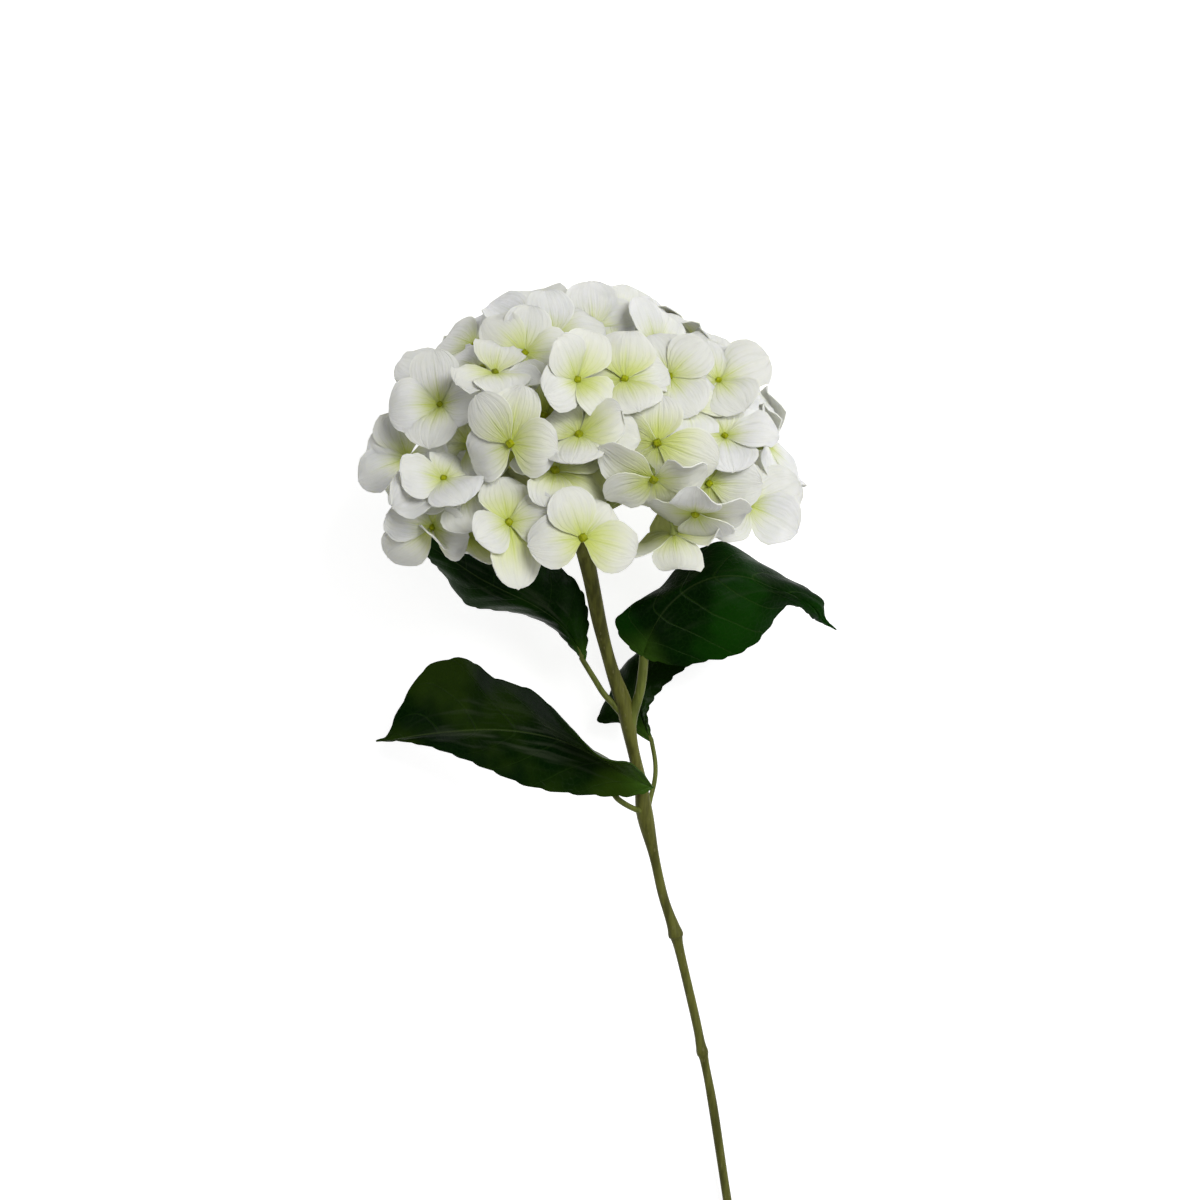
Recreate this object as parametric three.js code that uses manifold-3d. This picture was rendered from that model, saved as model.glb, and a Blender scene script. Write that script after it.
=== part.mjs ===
// Cut hydrangea lying on a flat surface: a domed head of white florets, its stem and four leaves.
// Millimetres, +Z up. The origin is on the surface under the middle of the head, and the stem runs
// towards -Y. The head rests on the sepals pressed flat under it, and the stem on its cut end.
import * as THREE from 'three';
import { mergeVertices } from 'three/addons/utils/BufferGeometryUtils.js';
import Module from 'manifold-3d';

const wasm = await Module();
wasm.setup();

const point = (x, y, z) => new THREE.Vector3(x, y, z);
const UP = point(0, 0, 1);

// Clearance between neighbouring solids
const GAP = 0.35;

// Head: the eyes of the florets lie on a dome round a tilted axis
const HEAD_CENTRE = point(0, 0, 60);
const HEAD_AXIS = point(-0.12, 0.93, 0.35).normalize();
const HEAD_RADIUS = 78;
const HEAD_RISE = 66;
const HEAD_DROP = 45;
// Height of the lowest eyes over the surface
const PRESSED_EYE = 3.8;

// Sepal: its length and width, how steeply it leaves the eye and how its end curls back
const SEPAL_LENGTH = 22.5;
const SEPAL_WIDTH = 20;
const SHORTEST_SEPAL = 20;
const SEPAL_THICKNESS = 0.7;
const SEPAL_PITCH = 0.27;
const PITCH_SPREAD = 0.42;
const SEPAL_CURL = 5;
const TWIST_SPREAD = 0.5;
const NOTCH_RADIUS = 7;

// The bud stands over the middle of a floret and the receptacle tapers away under it
const EYE_RADIUS = 1.9;
const BUD_HEIGHT = 2.3;
const RECEPTACLE_DEPTH = 5;

// Corymb: the stem's top, its rays and the slender stalks of the florets
const STEM_TOP = point(-0.8, -17, 60);
const RAY_COUNT = 9;
const RAY_REACH = 0.42;
const RAY_RADII = [1.9, 1.2];
const RAY_SIDES = 6;
const STALK_RADII = [0.8, 0.65];
const STALK_SIDES = 3;

// Florets seen from the front, each as the x and y of its eye, how far it stands over the dome, and
// the tips of its four sepals, from the eye
const POSED_FLORETS = [
  [-33.2, 40.8, 4, [[18, -4, 6], [3, 15, -4], [-15, -4, 3], [5, -8, 16]]],
  [-38.4, 43.2, -7, [[14, -9, 4], [6, 11, -4], [-15, 4, -4], [-9, -13, 4]]],
  [-1.2, 37.6, 5, [[15, -10, 3], [6, 20, -3], [-8, 16, 3], [-12, -6, 8]]],
  [17.6, 38, 1, [[17, 4, -2], [1, 19, -3], [-19, 1, -4], [6, -13, 4]]],
  [-26.8, 12.8, 4, [[18, -3, 7], [5, 23, -1], [-14, 19, -2], [-16, -7, -8]]],
  [0, 16, -2, [[24, -2, -2], [17, 9, 3], [-12, 8, -8], [-3, -12, 10]]],
  [30.4, 13.2, 1, [[24, -8, -3], [1, 19, -5], [-18, 3, -3], [0, -17, -2]]],
  [28.8, -0.8, 5, [[21, 3, 5], [-21, 10, 6], [-19, -8, -4], [2, -11, -14]]],
  [45.2, -14, 6, [[22, 1, 0], [0, 9, 17], [-18, 2, -3], [8, -10, -12]]],
  [1.2, -24, 5, [[21, -6, -2], [10, 13, -6], [-7, 20, 2], [-21, -3, 2]]],
  [-27.6, -18, 2, [[19, 3, 1], [-4, 18, -6], [-12, -6, 10], [4, -26, 2]]],
  [-9.6, 2, -8, [[21, -9, -3], [13, 10, -8], [-14, 7, -6], [-3, -15, 10]]],
  [-53.2, -0.8, 3, [[9, -8, 10], [6, 12, -8], [-17, 4, 4], [-20, -12, 3]]],
  [-45.6, -5.6, -8, [[21, 4, 3], [-4, 16, -10], [-19, -3, -4], [5, -16, 8]]],
  [-57.6, -19.2, -1, [[14, -5, 3], [5, 15, 2], [-18, 5, 3], [-19, -13, -5]]],
  [-68, 8, -1, [[16, -4, 4], [-5, 21, -5], [-14, 11, -8], [-20, -9, -2]]],
  [-54.8, 28.8, 2, [[16, 3, 5], [-3, 22, -5], [-21, -2, -2], [-5, -17, 10]]],
  [-21.6, 49.2, -2, [[20, 0, 2], [2, 20, -6], [-16, 14, -4], [-4, -18, 6]]],
  [-9.6, 56, -1, [[20, 3, -2], [-4, 18, -7], [-20, 2, -4], [2, -18, 10]]],
  [-20.4, 62.5, 4, [[17, 10, 2], [0, 15, -10], [-16, 9, -4], [-4, -14, 12]]],
  [5.6, 59.2, -2, [[20, 2, -2], [-2, 20, -4], [-20, 0, -3], [4, -18, 6]]],
  [19.2, 63.2, -4, [[17, 0, -8], [2, 14, -10], [-18, 7, 4], [0, -17, 10]]],
  [30, 52.8, 1, [[17, -11, -2], [5, 12, -12], [-8, 19, -3], [-11, -14, 8]]],
  [13.2, 52, -7, [[15, 8, -4], [0, 14, -12], [-14, 8, -2], [0, -17, 10]]],
  [35.2, 39.6, -1, [[15, 13, -4], [-8, 16, -6], [-16, -8, 5], [11, -15, 6]]],
  [54.8, 38.4, 4, [[20, 10, -2], [-4, 18, -8], [-18, -5, 5], [10, -12, 10]]],
  [40.8, 28.8, -6.7, [[15, 5, -8], [3, 14, -14], [-18, -2, 3], [4, -18, 8]]],
  [56.8, 16, 1, [[22, 2, -2], [-6, 13, -14], [-19, -2, 4], [3, -15, 10]]],
  [50.8, -2.4, -4, [[21, 0, 2], [12, 18, -5], [-18, 7, -2], [-2, -17, -3]]],
  [66, -10.8, -1, [[20, -10, 3], [21, 9, -5], [-8, 17, -3], [-13, -13, 8]]],
  [-56.8, 41.6, -4.5, [[16, 9, 6], [-4, 10, -14], [-15, 6, -4], [-6, -10, 12]]],
  [-41.6, 53.6, -3, [[14, 10, 6], [-2, 12, -14], [-14, 4, -6], [-6, -11, 12]]],
  [48.8, 45.6, -5, [[16, 1, -5], [4, 14, -12], [-13, 7, -10], [-8, -12, 10]]],
];
// Florets deeper between those: x, y, how far the eye stands over the dome and the spin in degrees
const BETWEEN_FLORETS = [
  [-14, 24, -17, 20], [14, 26, -13.5, 65], [-43, 13, -15, 40], [-12, -10, -16, 70],
];
// Florets that hang under the edge of the dome: eye, facing and spin in degrees
const HANGING_FLORETS = [
  [point(37, -22, 113), point(0.2, -0.8, -0.45), 20],
  [point(-45, -22, 100), point(-0.3, -0.8, -0.45), 30],
];
// The floret pressed flat over the origin: where its eye would be if the surface gave way, its
// facing and its spin
const RESTING_FLORET = [point(-2, 16, -8), point(0, 0.2, -1), 60];
// The rest of the head: steps of a golden-angle spiral down the dome
const SPIRAL_STEPS = 240;
const SPIRAL_LOWEST = -20;
const SPIRAL_SPACING = 24.6;
const OPEN_BELOW_Y = 9;
const SPIRAL_TOP = 22;
const GOLDEN_ANGLE = Math.PI * (3 - Math.sqrt(5));

// Stem: x, y, z and radius down its length, with swollen nodes where the leaves leave it
const STEM = [
  [-0.8, -17, 60, 3.6], [4, -38, 53, 3.2], [8, -58, 46.5, 2.9], [12.8, -76, 41.5, 2.6],
  [18, -91, 38, 3.4], [20.8, -106, 35, 2.6], [24.4, -122, 31.5, 2.6], [26, -134, 29, 3.3],
  [30, -152, 25.6, 2.1], [33.6, -168, 22.8, 2], [37.6, -180, 20.7, 2.4], [38.8, -184, 20, 3.1],
  [40, -189, 19.2, 2.1], [46.8, -218, 15, 1.8], [49, -229, 13.5, 2], [49.8, -232.5, 13, 2.5],
  [50.6, -236, 12.5, 1.8], [54, -254, 10.3, 1.8], [59.2, -288, 6.6, 1.8], [64.8, -324, 3.6, 1.8],
  [69.6, -356, 1.84, 1.8],
];
const STEM_SIDES = 10;

// Leaves: three rails from base to tip, the left margin, the midrib and the right margin, which
// share their first and last points, and the petiole with its radii at the blade and at the stem
const LEAVES = {
  leaf_lower_left: {
    base: [29.6, -123.6, 41],
    tip: [-82.8, -105.2, 25],
    left: [
      [20.8, -114, 50], [7.2, -110, 61], [-6, -97.2, 66], [-19.2, -84.8, 64], [-34, -79.2, 58],
      [-46.4, -72, 49], [-62, -75.6, 41], [-72.6, -91.2, 34], [-77.6, -102.4, 29],
    ],
    rib: [
      [19.2, -119.2, 44], [7.2, -111.6, 47], [-7.2, -104.8, 49], [-20.8, -101.6, 49],
      [-34, -100.4, 47], [-46.4, -100.8, 43], [-58.8, -102, 37], [-70.4, -103.6, 31],
      [-78, -104.8, 27.5],
    ],
    right: [
      [20.8, -126.8, 42], [8, -126.8, 43], [-6.8, -124.8, 44], [-22, -122, 43], [-35.2, -117.2, 40],
      [-46.8, -112, 36], [-58, -107.6, 32], [-69.6, -105.4, 28.5], [-77.6, -105.4, 26.5],
    ],
    petiole: [
      [18, -118.6, 42.8], [13, -122.5, 40], [14.5, -127.5, 38], [20, -131.5, 34], [26, -134, 30],
    ],
    petioleRadii: [1.3, 1.1],
  },
  leaf_upper_left: {
    base: [2, -73.2, 40],
    tip: [-68.8, -20.8, 36],
    left: [
      [-4, -66, 39.5], [-11.2, -58.8, 37], [-24, -53.6, 33], [-36, -51.2, 32], [-46.4, -48.8, 32],
      [-56, -36.4, 34], [-61.2, -30.4, 35.5],
    ],
    rib: [
      [-2.8, -64, 42], [-9.6, -56.4, 44], [-19.2, -50, 45], [-30, -44.8, 45], [-40.8, -39.2, 44],
      [-51.2, -32.4, 42], [-60, -26.8, 39],
    ],
    right: [
      [2.4, -64, 40.5], [2.6, -52.8, 42], [-0.8, -42, 43.5], [-12, -32.8, 45], [-26, -26, 45],
      [-40, -22, 44], [-52.8, -20, 41],
    ],
    petiole: [[0.6, -71.5, 40], [5.6, -79.6, 39.5], [10, -86.4, 38.8], [16.5, -93, 38]],
    petioleRadii: [1.1, 1.3],
  },
  leaf_upper_right: {
    base: [25.2, -70.8, 43],
    tip: [103.6, -60, 30],
    left: [
      [18.4, -64.8, 46], [14.8, -56, 49], [23.2, -48.8, 50], [32.8, -42.8, 47], [44, -30.8, 42],
      [56.8, -25.2, 40], [70.8, -32, 40], [85.2, -40, 38], [96.8, -47.6, 35], [98.4, -54.6, 33],
    ],
    rib: [
      [28, -62.4, 48], [32, -54.8, 52], [37.6, -48, 55], [46, -41.6, 57], [56, -38.4, 57],
      [67.2, -38.8, 54], [78, -43.2, 49], [88, -47, 43], [94.4, -51.6, 38], [97.6, -55.8, 33.5],
    ],
    right: [
      [32.8, -72.8, 45], [41.6, -74.4, 46], [50.4, -72, 46], [60, -70.4, 46], [69.6, -65.6, 45],
      [76.4, -58, 43], [82.4, -50.4, 42], [88.8, -51.2, 39], [93.6, -54.6, 35.5],
      [96.8, -56.6, 33],
    ],
    petiole: [[26, -66, 45], [25.4, -75, 42.8], [24.2, -84, 40.5], [22, -92, 38.5], [19.6, -100, 36]],
    petioleRadii: [1.9, 2.1],
  },
  leaf_back: {
    base: [29.2, -106, 25],
    tip: [46.8, -42, 5],
    left: [
      [16.8, -98, 17], [7.6, -97.2, 13], [12.8, -86, 11], [16.8, -75.6, 9], [23.2, -70, 8],
      [30, -60.8, 7], [37.6, -51.2, 6],
    ],
    rib: [
      [26, -97.6, 22], [24, -88.8, 19], [24, -80, 17], [27.2, -70.8, 15], [32, -62, 13],
      [37.6, -54, 11], [42.4, -48, 8.5],
    ],
    right: [
      [28, -99.2, 23], [27.2, -92.8, 21], [30.4, -86, 20], [38, -79.2, 19], [46, -72.8, 17],
      [49.6, -63.2, 13], [48.8, -54, 8.5],
    ],
    petiole: [[28.8, -104.5, 24.6], [30.4, -114, 25.5], [30, -122, 26.5], [27, -133, 28.5]],
    petioleRadii: [0.9, 1],
  },
};
const BLADE_THICKNESS = 0.8;
const TEETH = 14;
const TOOTH_DEPTH = 0.9;
// How far each half of a blade arches between its midrib and its margin
const BLADE_ARCH = 1.6;

// A repeatable draw between 0 and 1
function noise(index, channel) {
  const wave = Math.sin(index * 12.9898 + channel * 78.233) * 43758.5453;
  return wave - Math.floor(wave);
}

// Level of a point in the dome: 1 on the surface that holds the eyes, less inside it
function domeLevel(place) {
  const offset = place.clone().sub(HEAD_CENTRE);
  const height = offset.dot(HEAD_AXIS);
  const reach = height > 0 ? HEAD_RISE : HEAD_DROP;
  const across = offset.lengthSq() - height * height;
  return across / HEAD_RADIUS ** 2 + (height / reach) ** 2;
}

function domeNormal(place) {
  const offset = place.clone().sub(HEAD_CENTRE);
  const height = offset.dot(HEAD_AXIS);
  const reach = height > 0 ? HEAD_RISE : HEAD_DROP;
  return offset.addScaledVector(HEAD_AXIS, -height).divideScalar(HEAD_RADIUS ** 2)
    .addScaledVector(HEAD_AXIS, height / reach ** 2).normalize();
}

// The place on the front of the dome over x and y, or beside it where it comes nearest
function domeFront(x, y) {
  const top = 150;
  const bottom = 45;
  const step = 0.5;
  let nearest = point(x, y, top);
  for (let z = top; z > bottom; z -= step) {
    const place = point(x, y, z);
    if (domeLevel(place) < domeLevel(nearest)) nearest = place;
    if (domeLevel(nearest) <= 1) break;
  }
  return nearest;
}

// One floret: its eye, the way it faces and its spin. Under the head the weight presses it onto
// the surface, and the more it does, the straighter down the floret faces.
function makeFloret(place, heading, spin, seed) {
  const pressed = Math.max(PRESSED_EYE - place.z, 0);
  const eye = place.clone().addScaledVector(UP, pressed);
  const facing = heading.clone().normalize().addScaledVector(UP, -pressed / PRESSED_EYE)
    .normalize();
  const turn = new THREE.Quaternion().setFromUnitVectors(UP, facing);
  return { eye, facing, turn, spin, seed };
}

// A floret faces between the dome's normal and the line from the top of the stem, and those in
// front lean a little to the light
function facingOf(place, lean) {
  const outward = place.clone().sub(STEM_TOP).normalize();
  return outward.add(domeNormal(place)).addScaledVector(UP, lean).normalize();
}

/** A tip at least the shortest sepal's length from the eye, towards or from the viewer. */
function fullTip([x, y, z]) {
  const depth = Math.sqrt(Math.max(SHORTEST_SEPAL ** 2 - x * x - y * y, z * z));
  return point(x, y, z < 0 ? -depth : depth);
}

// A posed floret faces square to the lines between its opposite tips
function posedFlorets() {
  return POSED_FLORETS.map(([x, y, stand, places], index) => {
    const tips = places.map(fullTip);
    const heading = tips[0].clone().sub(tips[2]).cross(tips[1].clone().sub(tips[3]));
    const floret = makeFloret(domeFront(x, y).addScaledVector(UP, stand), heading, 0, index);
    const toPlane = floret.turn.clone().invert();
    floret.tips = tips.map((tip) => tip.applyQuaternion(toPlane));
    return floret;
  });
}

function betweenFlorets() {
  const lean = 0.6;
  return BETWEEN_FLORETS.map(([x, y, stand, spin], index) => {
    const place = domeFront(x, y);
    const facing = facingOf(place, lean);
    return makeFloret(place.addScaledVector(UP, stand), facing, spin, POSED_FLORETS.length + index);
  });
}

function placedFlorets() {
  const firstSeed = 50;
  return [...HANGING_FLORETS, RESTING_FLORET].map(([place, facing, spin], index) =>
    makeFloret(place, facing, spin, firstSeed + index));
}

// The florets that the front ones leave room for, on a spiral from the crown to the dome's edge
function spiralFlorets(others) {
  const firstSeed = 60;
  const side = new THREE.Vector3().crossVectors(HEAD_AXIS, UP).normalize();
  const back = new THREE.Vector3().crossVectors(HEAD_AXIS, side);
  const florets = [];
  for (let step = 0; step < SPIRAL_STEPS; step += 1) {
    const height = HEAD_RISE + (SPIRAL_LOWEST - HEAD_RISE) * (step + 0.5) / SPIRAL_STEPS;
    const reach = height > 0 ? HEAD_RISE : HEAD_DROP;
    const radius = HEAD_RADIUS * Math.sqrt(1 - (height / reach) ** 2);
    const angle = step * GOLDEN_ANGLE;
    const place = HEAD_CENTRE.clone().addScaledVector(HEAD_AXIS, height)
      .addScaledVector(side, radius * Math.cos(angle))
      .addScaledVector(back, radius * Math.sin(angle));
    const facing = facingOf(place, 0);
    const floret = makeFloret(place, facing, 90 * noise(step, 9), firstSeed + step);
    const shown = place.z > HEAD_CENTRE.z + SPIRAL_TOP;
    if (shown || place.y < OPEN_BELOW_Y) continue;
    const crowded = [...others, ...florets]
      .some((other) => other.eye.distanceTo(floret.eye) < SPIRAL_SPACING);
    if (!crowded) florets.push({ ...floret, behind: true });
  }
  return florets;
}

// How one sepal differs from the next. That of a posed floret reaches its own tip.
function sepalShape(floret, sepal) {
  const draw = (channel) => noise(floret.seed, channel + 10 * sepal) - 0.5;
  const shape = {
    length: SEPAL_LENGTH * (1 + 0.12 * draw(1)),
    halfWidth: SEPAL_WIDTH / 2 * (1 + 0.14 * draw(2)),
    pitch: SEPAL_PITCH + PITCH_SPREAD * draw(3),
    curl: SEPAL_CURL * (1 + draw(4)),
    twist: TWIST_SPREAD * draw(5),
    angle: THREE.MathUtils.degToRad(floret.spin + 90 * sepal) + 0.16 * draw(6),
  };
  if (!floret.tips) return shape;
  const { x, y, z } = floret.tips[sepal];
  const length = Math.hypot(x, y);
  return { ...shape, length, pitch: Math.atan((z + shape.curl) / length), angle: Math.atan2(y, x) };
}

// Half the angle from a sepal to the next one counter-clockwise
function halfGap(shapes, sepal) {
  const turn = shapes[(sepal + 1) % 4].angle - shapes[sepal].angle;
  return (turn - 2 * Math.PI * Math.floor(turn / (2 * Math.PI))) / 2;
}

// Height of a sepal's middle surface over its floret's plane
function sepalHeight(shape, along, across) {
  const reach = along / shape.length;
  return along * Math.tan(shape.pitch) - shape.curl * reach ** 3 + across * shape.twist * reach;
}

// Height of the sheet that the sepals form. Towards the sepal beside it, each turns to the height
// halfway between the two.
function sheetHeight(shapes, sepal, along, across) {
  const shape = shapes[sepal];
  const beside = across > 0 ? (sepal + 1) % 4 : (sepal + 3) % 4;
  const half = across > 0 ? halfGap(shapes, sepal) : halfGap(shapes, beside);
  const turned = Math.abs(Math.atan2(across, along)) / half;
  const turn = shape.angle - shapes[beside].angle;
  const alongBeside = along * Math.cos(turn) - across * Math.sin(turn);
  const acrossBeside = along * Math.sin(turn) + across * Math.cos(turn);
  const own = sepalHeight(shape, along, across);
  const other = sepalHeight(shapes[beside], alongBeside, acrossBeside);
  return THREE.MathUtils.lerp(own, (own + other) / 2, THREE.MathUtils.smoothstep(turned, 0.4, 1));
}

// A place in a floret's own plane and height, moved into the head. What would dip below the
// surface lies flat on it, pushed outward.
function inHead(floret, x, y, height) {
  const place = point(x, y, height).applyQuaternion(floret.turn).add(floret.eye);
  const lowest = SEPAL_THICKNESS / 2;
  const sunk = lowest - place.z;
  if (sunk > 0) {
    place.x += floret.facing.x * sunk;
    place.y += floret.facing.y * sunk;
    place.z = lowest;
  }
  return place;
}

// A floret's four sepals as one lobed sheet, then its receptacle and bud
function floretSolid(floret) {
  const shapes = [0, 1, 2, 3].map((sepal) => sepalShape(floret, sepal));
  const points = [inHead(floret, 0, 0, 0)];
  const triangles = [];
  const onSepal = (sepal, along, across) => {
    const { angle } = shapes[sepal];
    const x = Math.cos(angle) * along - Math.sin(angle) * across;
    const y = Math.sin(angle) * along + Math.cos(angle) * across;
    points.push(inHead(floret, x, y, sheetHeight(shapes, sepal, along, across)));
    return points.length - 1;
  };
  // Halfway round to the next sepal, at a distance from the eye
  const between = (sepal, radius) => {
    const half = halfGap(shapes, sepal);
    return onSepal(sepal, radius * Math.cos(half), radius * Math.sin(half));
  };
  const eyeRing = shapes.map((_, sepal) => between(sepal, EYE_RADIUS));
  const notches = shapes.map((_, sepal) =>
    between(sepal, Math.max(NOTCH_RADIUS / Math.tan(halfGap(shapes, sepal)), 1.5 * EYE_RADIUS)));
  shapes.forEach(({ length, halfWidth }, sepal) => {
    const last = (sepal + 3) % 4;
    triangles.push([0, eyeRing[last], eyeRing[sepal]]);
    // The margin stays clear of the sepals on either side
    const onMargin = (share, width, side) => {
      const half = side > 0 ? halfGap(shapes, sepal) : halfGap(shapes, last);
      const room = 0.9 * share * length * Math.tan(Math.min(half, 1.2));
      return onSepal(sepal, share * length, side * Math.min(width * halfWidth, room));
    };
    // The florets behind have simpler tips
    const tip = floret.behind ? [onSepal(sepal, 1.07 * length, 0)]
      : [onMargin(0.93, 0.58, -1), onMargin(0.93, 0.58, 1)];
    const rim = [
      eyeRing[sepal],
      eyeRing[last],
      notches[last],
      onMargin(0.6, 1, -1),
      ...tip,
      onMargin(0.6, 1, 1),
      notches[sepal],
    ];
    const middle = onSepal(sepal, 0.6 * length, 0);
    rim.forEach((start, step) => triangles.push([middle, start, rim[(step + 1) % rim.length]]));
  });
  return sheetSolid(points, triangles, SEPAL_THICKNESS, BUD_HEIGHT, RECEPTACLE_DEPTH);
}

// A closed solid from loose triangles
function solidOf(points, triangles) {
  const geometry = new THREE.BufferGeometry().setFromPoints(points);
  geometry.setIndex(triangles.flat());
  const merged = mergeVertices(geometry, 1e-5);
  return new wasm.Manifold(new wasm.Mesh({
    numProp: 3,
    vertProperties: merged.attributes.position.array,
    triVerts: new Uint32Array(merged.index.array),
  }));
}

// A sheet of even thickness: both faces hold the same triangles, and a rim joins them. Its first
// point may stand out further on either face. What lies on the surface lies flat on it.
function sheetSolid(points, triangles, thickness, peak = thickness / 2, root = thickness / 2) {
  const geometry = new THREE.BufferGeometry().setFromPoints(points);
  geometry.setIndex(triangles.flat());
  geometry.computeVertexNormals();
  const normals = points.map((place, index) => {
    const normal = new THREE.Vector3().fromBufferAttribute(geometry.attributes.normal, index);
    return place.z > thickness / 2 ? normal : point(0, 0, Math.sign(normal.z));
  });
  const offset = (index, distance) => points[index].clone()
    .addScaledVector(normals[index], distance);
  const count = points.length;
  const faces = [
    ...points.map((_, index) => offset(index, index ? thickness / 2 : peak)),
    ...points.map((_, index) => offset(index, index ? -thickness / 2 : -root)),
  ];
  const edges = new Set();
  triangles.forEach(([a, b, c]) => [[a, b], [b, c], [c, a]].forEach((e) => edges.add(e.join())));
  const solid = [];
  triangles.forEach(([a, b, c]) => {
    solid.push([a, b, c], [c + count, b + count, a + count]);
    [[a, b], [b, c], [c, a]].forEach(([from, to]) => {
      if (edges.has([to, from].join())) return;
      solid.push([to, from, from + count], [to, from + count, to + count]);
    });
  });
  return solidOf(faces, solid);
}

// A round solid through rings of a given centre and radius. A ring of no radius is a point.
function roundSolid(rings, sides) {
  const curve = new THREE.CatmullRomCurve3(rings.map(([centre]) => centre), false, 'catmullrom');
  const frames = curve.computeFrenetFrames(rings.length - 1);
  const points = [];
  rings.forEach(([centre, radius], ring) => {
    for (let side = 0; side < sides; side += 1) {
      const angle = 2 * Math.PI * side / sides;
      points.push(centre.clone()
        .addScaledVector(frames.normals[ring], radius * Math.cos(angle))
        .addScaledVector(frames.binormals[ring], radius * Math.sin(angle)));
    }
  });
  const triangles = [];
  for (let ring = 0; ring + 1 < rings.length; ring += 1) {
    for (let side = 0; side < sides; side += 1) {
      const a = ring * sides + side;
      const b = ring * sides + (side + 1) % sides;
      if (rings[ring][1] > 0) triangles.push([a, b, b + sides]);
      if (rings[ring + 1][1] > 0) triangles.push([a, b + sides, a + sides]);
    }
  }
  const last = (rings.length - 1) * sides;
  for (let side = 1; side + 1 < sides; side += 1) {
    if (rings[0][1] > 0) triangles.push([0, side + 1, side]);
    if (rings.at(-1)[1] > 0) triangles.push([last, last + side, last + side + 1]);
  }
  return solidOf(points, triangles);
}

// A tapered rod along a smooth curve through the given places
function rod(places, [startRadius, endRadius], sides, steps) {
  const curve = new THREE.CatmullRomCurve3(places, false, 'catmullrom');
  const rings = curve.getPoints(steps).map((centre, step) =>
    [centre, THREE.MathUtils.lerp(startRadius, endRadius, step / steps)]);
  return roundSolid(rings, sides);
}

// The main stem, from the corymb to the cut end
function stemRod(extra) {
  return roundSolid(STEM.map(([x, y, z, radius]) => [point(x, y, z), radius + extra]), STEM_SIDES);
}

// Rays from the top of the stem, each towards the florets that it serves
function rayTips(florets) {
  const side = new THREE.Vector3().crossVectors(HEAD_AXIS, UP).normalize();
  const back = new THREE.Vector3().crossVectors(HEAD_AXIS, side);
  const headings = Array.from({ length: RAY_COUNT }, (_, ray) => {
    const cosine = 1 - 1.25 * ray / RAY_COUNT;
    const sine = Math.sqrt(1 - cosine * cosine);
    const angle = ray * GOLDEN_ANGLE;
    return HEAD_AXIS.clone().multiplyScalar(cosine)
      .addScaledVector(side, sine * Math.cos(angle))
      .addScaledVector(back, sine * Math.sin(angle));
  });
  const served = headings.map(() => []);
  florets.forEach((floret) => {
    const outward = floret.eye.clone().sub(STEM_TOP).normalize();
    const fits = headings.map((heading) => heading.dot(outward));
    served[fits.indexOf(Math.max(...fits))].push(floret);
  });
  return served.filter((group) => group.length).map((group) => {
    const middle = group.reduce((sum, floret) => sum.add(floret.eye), point(0, 0, 0))
      .divideScalar(group.length);
    return { tip: STEM_TOP.clone().lerp(middle, RAY_REACH), group };
  });
}

// The stalk of a floret leaves its ray along it and comes up behind the floret. The faces of a rod
// with three sides stand in from its corners, so its corners take twice the clearance.
function stalkRod(ray, floret, extra) {
  const foot = -RECEPTACLE_DEPTH - GAP;
  const end = floret.eye.clone().addScaledVector(floret.facing, foot + 0.8 * extra);
  const start = STEM_TOP.clone().lerp(ray.tip, 0.93);
  const bend = floret.eye.clone().addScaledVector(floret.facing, foot - 9)
    .lerp(start.clone().lerp(end, 0.6), 0.45);
  return rod([start, bend, end], STALK_RADII.map((radius) => radius + 2 * extra), STALK_SIDES, 3);
}

function corymb(rays, extra) {
  const radii = RAY_RADII.map((radius) => radius + extra);
  return rays.flatMap(({ tip, group }) => {
    const end = STEM_TOP.clone().lerp(tip, 1 + extra / STEM_TOP.distanceTo(tip));
    return [
      rod([STEM_TOP, end], radii, RAY_SIDES, 1),
      ...group.map((floret) => stalkRod({ tip }, floret, extra)),
    ];
  });
}

function largestBody(solid) {
  return solid.decompose().reduce((best, part) => (part.volume() > best.volume() ? part : best));
}

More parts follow.
